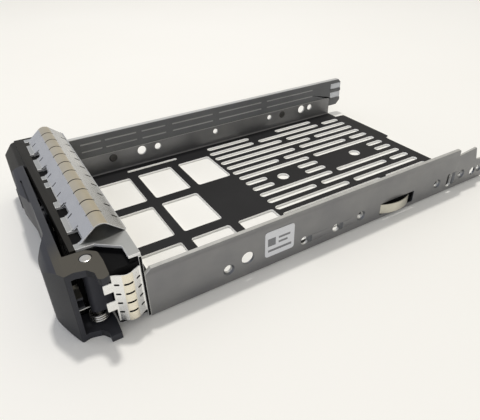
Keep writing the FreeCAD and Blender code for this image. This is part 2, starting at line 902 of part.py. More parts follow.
def make_latch_spring():
    """Folded strip spring that pushes the latch out again."""
    start_x = slider_near_x + latch_strip_gap
    step = (lever_far_x + stop_offset - latch_strip_gap - start_x) / latch_folds
    low = before(slider_depth[0]) + latch_strip
    high = before(slider_depth[1]) - latch_strip
    path = [(start_x + k * step, high if k % 2 else low) for k in range(latch_folds + 1)]
    front = [(x, y - latch_strip / 2) for x, y in path]
    rear = [(x, y + latch_strip / 2) for x, y in path[::-1]]
    half = latch_strip_height / 2
    return slab(front + rear, "plan", latch_height - half, latch_height + half)


def make_torsion_spring():
    """Torsion spring around the hinge pin that swings the lever open, with two straight legs."""
    pitch = torsion_wire + torsion_gap
    along = V(0, 1, 0)
    points = []
    for k in range(torsion_turns * round_flat_count + 1):
        turn = 2 * math.pi * k / round_flat_count
        points.append(V(torsion_radius * math.cos(turn), torsion_radius * math.sin(turn),
                        pitch * k / round_flat_count))
    root = points[0] - along * torsion_legs[0]
    path = Part.makePolygon([root] + points + [points[-1] + along * torsion_legs[1]])
    across = V(1, 0, 0)
    upright = along.cross(across)
    turns = [2 * math.pi * k / wire_flat_count for k in range(wire_flat_count + 1)]
    half = torsion_wire / 2
    section = Part.makePolygon([
        root + across * (half * math.cos(t)) + upright * (half * math.sin(t)) for t in turns
    ])
    spring = path.makePipeShell([section], True, False, 1)
    spring.rotate(V(0, 0, 0), V(0, 0, 1), 180)
    spring.translate(V(pin_x, behind(pin_behind), flange + torsion_lift + half))
    return spring


def make_pin():
    """Hinge pin, riveted in the lever's two flanges."""
    axis = V(pin_x, behind(pin_behind), 0)
    neck = axis + V(0, 0, bezel_height - pin_head_depth)
    shank = rod(pin_radius, axis + V(0, 0, pin_foot), neck)
    return fuse(shank, [rod(pin_head_radius, neck, axis + V(0, 0, bezel_height))])


def pipe_channels():
    """Channels for the light pipes in the far side of the carrier and the bezel."""
    half = pipe_height / 2 + pipe_gap
    across = (carrier_outer_x - drawing_margin, -half_inner - carrier_skin)
    along = (before(pipe_channel_front), behind(fork_start + drawing_margin))
    return [box(across, along, (level - half, level + half)) for level in pipe_levels]


def lens_corners(level, grow):
    """Front outline of a status lens."""
    half = lens_size[1] / 2 + grow
    reach = lens_size[0] / 2 + grow - half
    right = [c for c in ring(lens_x + reach, level, half, lens_flat_count) if c[0] > lens_x + reach]
    left = [c for c in ring(lens_x - reach, level, half, lens_flat_count) if c[0] < lens_x - reach]
    right.sort(key=lambda c: c[1])
    left.sort(key=lambda c: -c[1])
    return right + left


def pipe_head_box(level, grow):
    """Wider front end of a light pipe, behind its lens."""
    half = pipe_height / 2 + grow
    across = (carrier_outer_x + pipe_head_inset[0] - grow, carrier_outer_x + pipe_head_inset[1] + grow)
    along = (before(end_block_depth - lens_depth), behind(pipe_head_back + grow))
    return box(across, along, (level - half, level + half))


def end_block_section():
    """Side outline of the end block, whose upper front edge falls away in three steps."""
    shoulder, shoulder_drop = end_block_shoulder
    brow, brow_back = end_block_brow
    toe, toe_height = end_block_foot
    toe_radius, foot_radius, face_radius, shoulder_radius, brow_radius = end_block_radii
    return [
        (before(strip_overhang - drawing_margin), 0),
        (before(toe), 0, toe_radius),
        (before(end_block_depth), toe_height, foot_radius),
        (before(end_block_depth), bezel_height - end_block_drop, face_radius),
        (before(shoulder), bezel_height - shoulder_drop, shoulder_radius),
        (before(brow), bezel_height, brow_radius),
        (before(brow_back), bezel_height),
    ]


def bezel_bays():
    """Hollow bays of the housing, open to the rear."""
    rear = behind(bezel_rear) + drawing_margin
    first = carrier_outer_x + bay_far_margin
    last = bezel_near_x - bezel_wall
    pitch = (last + bezel_rib - first) / bay_count
    heights = (bezel_wall, bezel_top - bezel_wall)
    bays = []
    for k in range(bay_count):
        left = first + k * pitch
        bays.append(box((left, left + pitch - bezel_rib), (behind(bay_front), rear), heights))
    return bays


def bezel_masses():
    """Solid masses of the moulded bezel before it is hollowed."""
    rear = behind(bezel_rear)
    shell = box((carrier_outer_x, bezel_near_x), (before(strip_overhang), rear), (0, bezel_top))
    upper = slab(plate_corners(body_inset), "plan", near_block_high - body_inset, bezel_top)
    behind_back = box((-half_outer - crown_clear, half_outer + crown_clear), (rear, behind(wall_start) + 1),
                      (0, bezel_height))
    upper = cut(upper, [behind_back])
    top = (bezel_top, bezel_height)
    strip = box((carrier_outer_x, step_x), (before(strip_overhang), behind(strip_width)), top)
    far_strip = box((carrier_outer_x, plate_far_x), (before(strip_overhang), rear), top)
    block = slab(end_block_section(), "side", carrier_outer_x, end_block_near_x)
    root_x = bezel_near_x - near_block_overlap
    near_block = slab([
        (root_x, behind(near_block_front)),
        (near_block_x, behind(near_block_front), near_block_corner),
        (near_block_x, rear),
        (root_x, rear),
    ], "plan", near_block_low, near_block_high)
    axis = V(pin_x, behind(pin_behind), 0)
    knuckle = rod(knuckle_radius, axis + V(0, 0, knuckle_low), axis + V(0, 0, near_block_high))
    arm = box((pin_x - knuckle_radius, pin_x + knuckle_radius),
              (behind(pin_behind), behind(near_block_front) + drawing_margin), (knuckle_low, near_block_high))
    fills = []
    for start, end, depth in filled_windows:
        fills.append(box((start + fill_gap, end - fill_gap), (behind(0), behind(depth - fill_gap)),
                         (bezel_top - drawing_margin, bezel_height)))
    return shell, [upper, strip, far_strip, block, near_block, knuckle, arm] + fills


def make_bezel():
    """Moulded bezel: hollow housing, end block with lens pockets, hinge knuckle and clips."""
    rear = behind(bezel_rear)
    shell, masses = bezel_masses()
    cutters = bezel_bays() + pipe_channels()
    recess_heights = (bezel_wall + recess_edge, near_block_high - recess_edge / 2)
    cutters.append(box((end_block_near_x, bezel_near_x + drawing_margin),
                       (before(strip_overhang + drawing_margin), before(recess_depth)), recess_heights))
    cutters.append(box((bezel_near_x + near_pocket_inset, near_block_x - bezel_wall),
                       (behind(near_block_front + bezel_wall), rear + drawing_margin),
                       (near_block_low + bezel_wall, near_block_high - bezel_wall)))
    half = half_inner - tongue_inset + tongue_gap
    cutters.append(box((-half, half), (behind(wall_start - tongue_depth - tongue_gap), rear + drawing_margin),
                       (-drawing_margin, sheet)))
    axis = V(pin_x, behind(pin_behind), 0)
    cutters.append(rod(pin_radius + hinge_clearance, axis, axis + V(0, 0, bezel_height + drawing_margin)))
    for x in floor_rivets:
        cutters.append(peg("plan", x, behind(floor_rivet_behind), rivet_radius, -drawing_margin,
                           bezel_wall + drawing_margin))
    for k in range(vent_count):
        x = (k - (vent_count - 1) / 2) * vent_pitch + (end_block_near_x + bezel_near_x) / 2
        across = (x - vent_width / 2, x + vent_width / 2)
        heights = (vent_margin, bezel_height - vent_margin)
        cutters.append(slot("front", across, heights, before(strip_overhang), behind(2 * bay_front)))
    lens_back = before(end_block_depth - lens_depth)
    for level in pipe_levels:
        cutters.append(slab(lens_corners(level, lens_gap), "front", before(crown_clear), lens_back))
        cutters.append(pipe_head_box(level, pipe_gap))
    half = slider_height / 2 + catch_gap
    cutters.append(box((end_block_near_x - catch_depth, end_block_near_x + drawing_margin),
                       (before(slider_depth[0] + catch_gap), before(slider_depth[1] - catch_gap)),
                       (latch_height - half, latch_height + half)))
    return cut(fuse(shell, masses), cutters)


def carrier_grooves():
    """Shallow lines along the carrier's inner face."""
    depth, width = groove_size
    across = (-half_inner - depth, -half_inner + drawing_margin)
    cutters = []
    for level in groove_levels:
        for start, end in groove_spans:
            cutters.append(box(across, (behind(start), behind(end)), (level, level + width)))
    return cutters


def carrier_end_cutters():
    """Space beyond the carrier's chamfered rear end, above and below, and in its fork."""
    end = behind(carrier_end)
    past = end + drawing_margin
    across = (carrier_outer_x - drawing_margin, -half_inner + drawing_margin)
    top, heel = carrier_end_chamfers
    above = [(end - top, carrier_top), (past, carrier_top - top - drawing_margin),
             (past, carrier_top + drawing_margin), (end - top, carrier_top + drawing_margin)]
    below = [(end - heel, skirt_bottom), (past, skirt_bottom + heel + drawing_margin),
             (past, skirt_bottom - drawing_margin), (end - heel, skirt_bottom - drawing_margin)]
    cutters = [slab(above, "side", *across), slab(below, "side", *across)]
    for low, high in fork_gaps:
        cutters.append(box(across, (behind(fork_start), past), (low, high)))
    return cutters


def make_carrier():
    """Moulded carrier that holds two light pipes outside the tray's low far wall."""
    inner = -half_inner - carrier_inset
    bottom = far_wall_height + carrier_gap
    end = behind(carrier_end)
    inner_radius, outer_radius = carrier_edge_radii
    body = slab([
        (carrier_outer_x, bottom),
        (inner, bottom),
        (inner, carrier_top, inner_radius),
        (carrier_outer_x, carrier_top, outer_radius),
    ], "front", behind(wall_start), end)
    outer = (carrier_outer_x, -half_outer - carrier_gap)
    joint = bottom + carrier_joint
    parts = [
        box(outer, (behind(skirt_start), end), (skirt_bottom, joint)),
        box((carrier_outer_x, inner), (behind(far_wall_end + carrier_gap), end), (skirt_bottom, joint)),
    ]
    rivet_height = far_wall_height - lug_drop
    for station in lug_stations:
        along = (behind(station - lug_half_width), behind(station + lug_half_width))
        parts.append(box(outer, along, (rivet_height - lug_foot, joint)))
    cutters = pipe_channels() + carrier_grooves() + carrier_end_cutters()
    for station in lug_stations:
        cutters.append(peg("side", behind(station), rivet_height, rivet_radius,
                           carrier_outer_x - drawing_margin, inner))
    return cut(fuse(body, parts), cutters)


def make_pipe(index):
    """Clear light pipe from its lens to the forked rear end of the carrier."""
    level = pipe_levels[index]
    low, high = fork_gaps[index]
    half = pipe_height / 2
    outer = carrier_outer_x + pipe_inset
    joint = behind(fork_start + pipe_end_inset)
    run = box((outer, -half_inner - carrier_skin - pipe_gap), (behind(0), joint + pipe_end_inset),
              (level - half, level + half))
    end = box((outer, -half_inner - pipe_end_inset), (joint, behind(carrier_end - pipe_end_inset)),
              (low + pipe_end_inset, high - pipe_end_inset))
    return fuse(run, [end, pipe_head_box(level, 0.0)])


def make_lens(index):
    """Status lens in the bezel's end block."""
    corners = lens_corners(pipe_levels[index], 0.0)
    front = before(end_block_depth - lens_recess)
    return slab(corners, "front", front, before(end_block_depth - lens_depth + lens_gap))


def make_carrier_rivets():
    """Rivets that hold the carrier's lugs to the far wall."""
    seat = carrier_outer_x - carrier_rivet_head
    height = far_wall_height - lug_drop
    rivets = []
    for station in lug_stations:
        shank = peg("side", behind(station), height, rivet_radius, seat, -half_inner)
        head = peg("side", behind(station), height, rivet_head_radius, seat, carrier_outer_x)
        rivets.append(fuse(shank, [head]))
    return Part.makeCompound(rivets)


def make_floor_rivets():
    """Rivets that hold the bezel to the tray's tongue."""
    top = bezel_wall + rivet_head
    y = behind(floor_rivet_behind)
    rivets = []
    for x in floor_rivets:
        shank = peg("plan", x, y, rivet_radius, floor_rivet_foot, top)
        rivets.append(fuse(shank, [peg("plan", x, y, rivet_head_radius, bezel_wall, top)]))
    return Part.makeCompound(rivets)


def bowed_section(feet, rise, crown_radius):
    """Outline of a thin strip bowed between two feet, as (distance behind, height, radius).

    Each flank is the tangent from a foot to the crown's circle, and the inner
    outline runs a sheet's thickness inside the outer one.
    """
    start, end = feet
    half_span = (end - start) / 2
    middle = (start + end) / 2
    centre = rise - crown_radius
    slope = math.atan2(centre, half_span) + math.asin(crown_radius / math.hypot(half_span, centre))
    apex = half_span * math.tan(slope)
    foot = spring_sheet / math.sin(slope)
    inner_apex = apex - spring_sheet / math.cos(slope)
    return [
        (start, 0.0, 0.0),
        (middle, apex, crown_radius),
        (end, 0.0, 0.0),
        (end - foot, 0.0, 0.0),
        (middle, inner_apex, crown_radius - spring_sheet),
        (start + foot, 0.0, 0.0),
    ]


def make_top_spring():
    """Row of bowed contact fingers on the bezel's top plate."""
    far_x = plate_far_x + top_spring_span[0]
    near_x = bezel_near_x - top_spring_span[1]
    section = bowed_section(top_spring_feet, top_spring_rise, top_spring_crown)
    corners = [(behind(d), bezel_height + up, radius) for d, up, radius in section]
    strip = slab(corners, "side", far_x, near_x)
    pitch = (near_x - far_x) / top_fingers
    heights = (bezel_height + spring_sheet, bezel_height + top_spring_rise + drawing_margin)
    cutters = []
    for k in range(1, top_fingers):
        x = far_x + k * pitch
        gap = (x - finger_gap / 2, x + finger_gap / 2)
        for start, end in (top_crown_slot,) + top_foot_slots:
            cutters.append(box(gap, (behind(start), behind(end)), heights))
    return cut(strip, cutters)


def make_side_spring():
    """Row of bowed contact fingers on the bezel's near side, with two front tabs."""
    low = near_block_low + side_spring_inset[0]
    high = near_block_high - side_spring_inset[1]
    section = bowed_section(side_spring_feet, side_spring_rise, side_spring_crown)
    corners = [(near_block_x + out, behind(d), radius) for d, out, radius in section]
    strip = slab(corners, "plan", low, high)
    start = side_spring_feet[0]
    along = (behind(start - side_tab_reach), behind(start + side_tab_root))
    tabs = [box((near_block_x, near_block_x + spring_sheet), along, span) for span in side_tabs]
    pitch = (high - low) / side_fingers
    across = (near_block_x + spring_sheet, near_block_x + side_spring_rise + drawing_margin)
    cutters = []
    for k in range(1, side_fingers):
        level = low + k * pitch
        gap = (level - finger_gap / 2, level + finger_gap / 2)
        for start, end in (side_crown_slot,) + side_foot_slots:
            cutters.append(box(across, (behind(start), behind(end)), gap))
    return cut(fuse(strip, tabs), cutters)


def make_label():
    """Plain paper label on the near wall."""
    start, end, low, high = label_span
    return box((half_outer, half_outer + label_thickness), (behind(start), behind(end)), (low, high))


NODES = {
    "tray": make_tray,
    "rail_leaf_spring": make_leaf,
    "bezel_body": make_bezel,
    "bezel_shield": make_shield,
    "top_contact_spring": make_top_spring,
    "side_contact_spring": make_side_spring,
    "lever_handle": make_lever,
    "lever_back_plate": make_back_plate,
    "back_plate_screws": make_back_plate_screws,
    "lever_pin": make_pin,
    "lever_spring": make_torsion_spring,
    "release_button": make_button,
    "latch_slider": make_slider,
    "latch_spring": make_latch_spring,
    "light_pipe_carrier": make_carrier,
    "light_pipe_upper": lambda: make_pipe(0),
    "light_pipe_lower": lambda: make_pipe(1),
    "status_lens_upper": lambda: make_lens(0),
    "status_lens_lower": lambda: make_lens(1),
    "carrier_rivets": make_carrier_rivets,
    "floor_rivets": make_floor_rivets,
    "plain_label": make_label,
}


def main():
    """Write one file per node."""
    os.makedirs("parts", exist_ok=True)
    for name, make in NODES.items():
        shape = make()
        shape.exportStep("parts/" + name + ".step")
        limits = shape.BoundBox
        corners = (limits.XMin, limits.XMax, limits.YMin, limits.YMax, limits.ZMin, limits.ZMax)
        print(name, len(shape.Solids), "solids, valid", shape.isValid(), "volume", round(shape.Volume, 1),
              [round(v, 2) for v in corners])


main()
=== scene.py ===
# %% [markdown]
# # A hot swap drive caddy
#
# This lesson dresses the CAD frame of a server's drive caddy. The frame gives the place and the size of
# every part. Each step says what a piece is on the real object and how it is made here.
# Shapes are worked out in millimetres, and the mesh builder turns them into metres. The stage is in metres.

# %% Frame
import json
import math
import bmesh
import bpy
import numpy as np
from mathutils import Matrix, Vector
from mathutils.geometry import delaunay_2d_cdt


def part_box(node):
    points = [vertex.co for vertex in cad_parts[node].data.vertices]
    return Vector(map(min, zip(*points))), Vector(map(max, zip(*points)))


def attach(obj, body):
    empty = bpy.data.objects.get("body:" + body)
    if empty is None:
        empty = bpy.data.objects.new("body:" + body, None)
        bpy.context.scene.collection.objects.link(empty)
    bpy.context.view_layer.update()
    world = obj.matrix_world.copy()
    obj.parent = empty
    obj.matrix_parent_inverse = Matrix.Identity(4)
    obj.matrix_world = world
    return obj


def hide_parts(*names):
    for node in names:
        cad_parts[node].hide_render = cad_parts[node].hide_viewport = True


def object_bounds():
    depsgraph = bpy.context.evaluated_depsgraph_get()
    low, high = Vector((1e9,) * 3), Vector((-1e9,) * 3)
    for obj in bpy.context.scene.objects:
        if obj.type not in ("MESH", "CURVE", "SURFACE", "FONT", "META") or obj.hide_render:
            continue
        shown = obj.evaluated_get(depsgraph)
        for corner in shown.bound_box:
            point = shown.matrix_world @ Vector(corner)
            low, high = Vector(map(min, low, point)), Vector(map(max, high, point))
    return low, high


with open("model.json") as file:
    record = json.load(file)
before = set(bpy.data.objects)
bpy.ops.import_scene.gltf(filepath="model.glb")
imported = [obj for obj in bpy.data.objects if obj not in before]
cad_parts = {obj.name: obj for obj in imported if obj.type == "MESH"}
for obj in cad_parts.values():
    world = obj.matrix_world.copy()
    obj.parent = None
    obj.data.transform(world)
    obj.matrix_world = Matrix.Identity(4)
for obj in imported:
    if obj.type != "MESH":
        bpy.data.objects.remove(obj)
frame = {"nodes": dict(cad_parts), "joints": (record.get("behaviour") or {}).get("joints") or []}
nodes = frame["nodes"]
cad_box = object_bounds()
MM = 0.001


def limits(node):
    """Lowest and highest corner of a CAD node in millimetres."""
    low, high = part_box(node)
    return np.array(low) / MM, np.array(high) / MM


def link(name, data):
    """New object in the scene that shows a mesh, a light or a camera."""
    made = bpy.data.objects.new(name, data)
    bpy.context.scene.collection.objects.link(made)
    return made


print("caddy, mm:", [round((h - l) / MM, 1) for l, h in zip(*cad_box)])

# %% [markdown]
# ## Camera
#
# The photograph was taken from above the near right side. The camera comes from a fit to the tray's width,
# its hole pitch and its edges. The picture's centre lies below the lens axis, hence the small shift.

# %% Camera
CAMERA_PLACE = (156.276, -110.253, 111.268)
CAMERA_YAW = 30.591
CAMERA_PITCH = 32.483
CAMERA_ROLL = -1.161
FOCAL_PIXELS = 448.27
PICTURE_WIDTH = 480
AXIS_ROW = 199
MIDDLE_ROW = 210
SENSOR = 36.0
CLIP_START = 0.005


def make_camera():
    """Camera that looks along yaw and pitch, then rolls about its own axis."""
    yaw, pitch, roll = (math.radians(a) for a in (CAMERA_YAW, CAMERA_PITCH, CAMERA_ROLL))
    look = Vector((-math.cos(yaw) * math.cos(pitch), math.sin(yaw) * math.cos(pitch), -math.sin(pitch)))
    right = look.cross(Vector((0, 0, 1))).normalized()
    up = right.cross(look)
    turned_right = math.cos(roll) * right + math.sin(roll) * up
    turned_up = math.cos(roll) * up - math.sin(roll) * right
    data = bpy.data.cameras.new("camera")
    data.sensor_width = SENSOR
    data.lens = FOCAL_PIXELS / PICTURE_WIDTH * SENSOR
    data.shift_y = (AXIS_ROW - MIDDLE_ROW) / PICTURE_WIDTH
    data.clip_start = CLIP_START
    camera = link("camera", data)
    rotation = Matrix((turned_right, turned_up, -look)).transposed().to_4x4()
    camera.matrix_world = Matrix.Translation(Vector(CAMERA_PLACE) * MM) @ rotation
    bpy.context.scene.camera = camera


make_camera()

# %% [markdown]
# ## Materials
#
# A colour is written as it looks on a screen, and one function turns it to linear light. Another adds a
# shader node, and each material is built from such nodes.

# %% Material helpers
def linear(colour):
    """Linear RGBA from an sRGB hex colour: each channel c becomes ((c + 0.055) / 1.055) ** 2.4."""
    values = [int(colour[i:i + 2], 16) / 255 for i in (1, 3, 5)]
    return [v / 12.92 if v <= 0.04045 else ((v + 0.055) / 1.055) ** 2.4 for v in values] + [1.0]


def node(tree, kind, inputs=(), **settings):
    """Adds a shader node, sets its properties, then sets or links its inputs."""
    made = tree.nodes.new(kind)
    for name, value in settings.items():
        setattr(made, name, value)
    for name, value in dict(inputs).items():
        if isinstance(value, bpy.types.NodeSocket):
            tree.links.new(value, made.inputs[name])
        else:
            made.inputs[name].default_value = value
    return made


def new_material(name):
    """Empty material, with its tree and a socket of object coordinates in metres."""
    material = bpy.data.materials.new(name)
    material.use_nodes = True
    tree = material.node_tree
    tree.nodes.clear()
    return material, tree, node(tree, "ShaderNodeTexCoord").outputs["Object"]


def with_surface(material, inputs):
    """Gives a material its principled shader and its output."""
    tree = material.node_tree
    shader = node(tree, "ShaderNodeBsdfPrincipled", inputs)
    node(tree, "ShaderNodeOutputMaterial", {"Surface": shader.outputs[0]})
    return material


def noise(tree, place, size_mm, detail=3.0, stretch=(1, 1, 1)):
    """Noise whose features are about size_mm across, longer along a stretched axis."""
    scaled = node(tree, "ShaderNodeMapping", {"Vector": place, "Scale": stretch})
    return node(tree, "ShaderNodeTexNoise", {
        "Vector": scaled.outputs[0], "Scale": 1 / (size_mm * MM), "Detail": detail,
        "Roughness": 0.55}).outputs["Fac"]


def ramp(tree, factor, stops):
    """Colour ramp from (position, hex colour) stops."""
    made = node(tree, "ShaderNodeValToRGB", {"Fac": factor})
    elements = made.color_ramp.elements
    while len(elements) < len(stops):
        elements.new(0.5)
    for element, (position, colour) in zip(elements, stops):
        element.position = position
        element.color = linear(colour)
    return made.outputs["Color"]


def two_tone(tree, factor, dark, light):
    """Colour that goes from dark to light over the middle of a factor's range."""
    return ramp(tree, factor, ((0.3, dark), (0.7, light)))


def mixed(tree, share, first, second):
    """Colour that goes from the first to the second as the share goes from 0 to 1.

    Sockets 6 and 7 of a mix node take the colours, and output 2 gives the result.
    """
    return node(tree, "ShaderNodeMix", {0: share, 6: first, 7: second}, data_type="RGBA").outputs[2]


def compute(tree, operation, *values):
    """Result of a math node on numbers or sockets."""
    return node(tree, "ShaderNodeMath", enumerate(values), operation=operation).outputs[0]


def spread(tree, factor, low, high):
    """Maps a 0 to 1 factor to the range from low to high."""
    return node(tree, "ShaderNodeMapRange", {"Value": factor, "To Min": low, "To Max": high}).outputs[0]


def bump(tree, height, depth_mm):
    """Bump from a height socket, with its depth in millimetres."""
    return node(tree, "ShaderNodeBump", {
        "Height": height, "Distance": depth_mm * MM, "Strength": 1.0}).outputs[0]


# %% [markdown]
# ### Plated sheet steel
#
# The tray is cold rolled sheet with a dull zinc plating. Its reflection is blurred and a little cloudy,
# with fine rolling lines along its length. Those are finer than a pixel, so they are drawn coarser. The
# springs and the shield are brighter strips of that kind.

# %% Metals
GRAIN_STRETCH = (1, 0.08, 1)


def sheet_steel(name, dark, light, metallic, roughness, grain_mm=0.35, cloud_mm=14.0,
                grain_depth=0.002, wander=0.045):
    """Plated sheet: a cloudy colour, and a fine rolled grain in its roughness and its relief."""
    material, tree, place = new_material(name)
    grain = noise(tree, place, grain_mm, 2.0, GRAIN_STRETCH)
    return with_surface(material, {
        "Base Color": two_tone(tree, noise(tree, place, cloud_mm), dark, light), "Metallic": metallic,
        "Roughness": spread(tree, grain, roughness - wander, roughness + wander),
        "Normal": bump(tree, grain, grain_depth)})


TRAY_STEEL = sheet_steel("zinc_plated_tray_sheet", "#808082", "#8b8b8b", 0.85, 0.4)
# Cut edges: bare sheared steel, with a lighter diffuse colour as a painted reflection of the pale paper.
CUT_EDGE_REFLECTION = sheet_steel("sheared_edge_painted_reflection", "#b9b9b6", "#c8c8c5", 0.5, 0.45, 0.2, 4.0)
# Cut edges in the floor: near white, a painted reflection of the paper seen through the windows.
FLOOR_RIM_REFLECTION = sheet_steel("floor_edge_painted_paper_reflection", "#f4f4f2", "#fbfbf9", 0.1, 0.45, 0.2, 4.0)
SHIELD_STEEL = sheet_steel(
    "satin_plated_shield_sheet", "#b9bbba", "#c6c7c5", 0.9, 0.34, 0.3, 9.0, 0.0006)
# Near white edge colour: a painted highlight on the shield's edges and the springs' outer ends.
EDGE_HIGHLIGHT_STEEL = sheet_steel("steel_painted_edge_highlight", "#ececea", "#f4f4f2", 0.3, 0.4, 0.2, 4.0)
SPRING_STEEL = sheet_steel(
    "stainless_spring_strip", "#cbcbca", "#d5d5d3", 0.95, 0.26, 0.25, 7.0, 0.0001, 0.01)
# Tan crown colour: a painted reflection of the warm light above the top spring.
CROWN_WARM_REFLECTION = sheet_steel(
    "crown_painted_warm_reflection", "#cfc5ae", "#dbd1bb", 0.95, 0.28, 0.25, 7.0, 0.0001, 0.01)
# Dark colour for the slits' cut faces: painted shade in the narrow gaps.
SLIT_SHADE = sheet_steel("painted_slit_shade", "#2e2a24", "#3a352d", 0.6, 0.5, 0.2, 3.0)
SIDE_SPRING_STEEL = sheet_steel(
    "bright_spring_strip", "#ededeb", "#f6f6f4", 0.9, 0.26, 0.25, 6.0, 0.0001)
# Pale tan crown colour: a painted reflection of the warm light on the side spring.
SIDE_CROWN_WARM_REFLECTION = sheet_steel(
    "side_crown_painted_warm_reflection", "#ece5d2", "#f2ecdb", 0.9, 0.28, 0.25, 6.0, 0.0001)
LEAF_STEEL = sheet_steel("leaf_spring_strip", "#c2bfb3", "#cfccc0", 0.95, 0.34, 0.25, 5.0)
PIN_STEEL = sheet_steel("turned_pin_steel", "#cfcdc8", "#dad8d3", 0.95, 0.26, 0.2, 3.0)
# Darker pressed steel: painted shade in sunk-hole cones, recesses and some hole edges.
RECESS_STEEL = sheet_steel("shaded_pressed_steel", "#6c6e72", "#787a7e", 0.85, 0.35, 0.2, 3.0)
# Dark rivet steel, also used as painted shade in the far wall's dimples.
RIVETS_AND_DIMPLE_SHADE = sheet_steel("dimple_shade_and_rivet_steel", "#4a4947", "#5b5a58", 0.9, 0.4, 0.2, 3.0)

# %% [markdown]
# ### Dull black film
#
# The tray's floor carries a thin black insulating film, so that the drive's circuit board can't touch the
# steel. It looks even and dull from every side, with a very weak sheen.

# %% Floor film
def black_film():
    """Nearly black colour, wide weak gloss and a fine orange peel."""
    material, tree, place = new_material("matt_black_insulating_film")
    peel = noise(tree, place, 0.5, 2.0)
    return with_surface(material, {
        "Base Color": two_tone(tree, noise(tree, place, 30.0), "#1b1b1d", "#222224"),
        "Roughness": spread(tree, peel, 0.5, 0.62), "IOR": 1.45, "Specular IOR Level": 0.3,
        "Normal": bump(tree, peel, 0.006)})


FLOOR_FILM = black_film()

# %% [markdown]
# ### Moulded plastic
#
# The bezel and the lever are moulded in a stiff ABS blend with a fine spark-eroded texture. It looks
# matt, with a soft wide sheen, and its edges are painted a little lighter as a highlight.

# %% Plastic
# Span along X over which the lever's painted warm sheen takes over.
SHEEN_SPAN = (32.0, 42.0)


def moulded(name, dark, light, roughness, texture_mm=0.35, texture_depth=0.01, gloss=0.15, sheen_colour=None):
    """Textured ABS: a slow change of colour and a fine leathery bump. A sheen colour, a painted warm
    reflection, takes over along X.
    """
    material, tree, place = new_material(name)
    texture = noise(tree, place, texture_mm, 2.0)
    colour = two_tone(tree, noise(tree, place, 22.0), dark, light)
    if sheen_colour:
        across = node(tree, "ShaderNodeSeparateXYZ", {"Vector": place}).outputs["X"]
        share = node(tree, "ShaderNodeMapRange", {
            "Value": across, "From Min": SHEEN_SPAN[0] * MM, "From Max": SHEEN_SPAN[1] * MM}).outputs[0]
        colour = mixed(tree, share, colour, linear(sheen_colour))
    return with_surface(material, {
        "Base Color": colour, "Roughness": spread(tree, texture, roughness - 0.05, roughness + 0.07),
        "IOR": 1.53, "Specular IOR Level": gloss, "Normal": bump(tree, texture, texture_depth)})


BEZEL_PLASTIC = moulded("abs_bezel", "#24231f", "#2b2925", 0.5)
# Lighter bevel colour of the bezel: a painted highlight along the rounded edges.
BEZEL_EDGE_HIGHLIGHT = moulded("abs_bezel_painted_edge_highlight", "#3a3833", "#44423c", 0.45)
# Near black: painted shade on hidden bezel faces, the shield's back plate end, the leaf's ends and its seat.
SHADE_BLACK = moulded("painted_shade_black", "#111112", "#171718", 0.8, gloss=0.1)
LEVER_PLASTIC = moulded("abs_lever", "#38393e", "#404146", 0.45)
# Olive upper side of the lever: a painted warm sheen from the light above.
LEVER_SHEEN_TOP = moulded("abs_lever_painted_top_sheen", "#3b3c40", "#434448", 0.45, sheen_colour="#524f48")
LEVER_SHADE = moulded("abs_lever_shaded_side", "#2d2e31", "#333437", 0.5)
# Lighter bevel colour of the lever, button and back plate: a painted edge highlight.
LEVER_EDGE_HIGHLIGHT = moulded("abs_lever_painted_edge_highlight", "#48494d", "#545559", 0.4)
KNUCKLE_PLASTIC = moulded("abs_knuckle", "#3b3c42", "#44454b", 0.4)
CARRIER_PLASTIC = moulded("abs_carrier", "#6c6d6e", "#787979", 0.4)
# Light grey on the carrier's top face and edge: a painted highlight.
CARRIER_HIGHLIGHT_TOP = moulded("abs_carrier_painted_top_highlight", "#bcbdbc", "#cacbca", 0.3)
# Light lines in the carrier's grooves: painted highlights.
CARRIER_HIGHLIGHT_LINE = moulded("abs_carrier_painted_groove_highlight", "#aeaeab", "#bcbcb9", 0.4)
BUTTON_PLASTIC = moulded("abs_button", "#2c2c2e", "#343436", 0.4)
LENS_PLASTIC = moulded("smoked_lens", "#141416", "#1a1a1d", 0.12, 0.5, 0.0, 0.5)


def clear_plastic():
    """Light pipe in clear polycarbonate, slightly milky."""
    material, tree, place = new_material("clear_polycarbonate")
    haze = noise(tree, place, 3.0)
    return with_surface(material, {
        "Base Color": linear("#e3e6ea"), "Roughness": spread(tree, haze, 0.12, 0.25),
        "IOR": 1.585, "Transmission Weight": 0.35})


PIPE_PLASTIC = clear_plastic()

# %% [markdown]
# ### Paper label
#
# The label is coated paper with a plain grey square and three bars. Each mark is found by comparing the
# distance from its centre with half its size.

# %% Label paper
label_low, label_high = limits("plain_label")

# Each mark's place from the label's middle, its height, half its length and half its own height
LABEL_MARKS = ((-3.6, 11.4, 1.7, 1.7), (2.0, 12.4, 2.6, 0.45), (1.4, 10.4, 2.0, 0.45), (0.0, 7.6, 5.2, 0.5))


def label_paper():
    """Coated paper with plain grey marks."""
    material, tree, place = new_material("coated_label_paper")
    parts = node(tree, "ShaderNodeSeparateXYZ", {"Vector": place}).outputs
    middle = (label_low[1] + label_high[1]) / 2
    total = 0.0
    for off, height, half_along, half_up in LABEL_MARKS:
        along = compute(tree, "COMPARE", parts["Y"], (middle + off) * MM, half_along * MM)
        up = compute(tree, "COMPARE", parts["Z"], height * MM, half_up * MM)
        total = compute(tree, "MAXIMUM", total, compute(tree, "MULTIPLY", along, up))
    fibre = noise(tree, place, 0.4)
    paper, ink = two_tone(tree, fibre, "#dedfe3", "#e7e8eb"), two_tone(tree, fibre, "#77787b", "#828386")
    return with_surface(material, {
        "Base Color": mixed(tree, total, paper, ink), "Roughness": 0.55, "Normal": bump(tree, fibre, 0.003)})


LABEL_PAPER = label_paper()

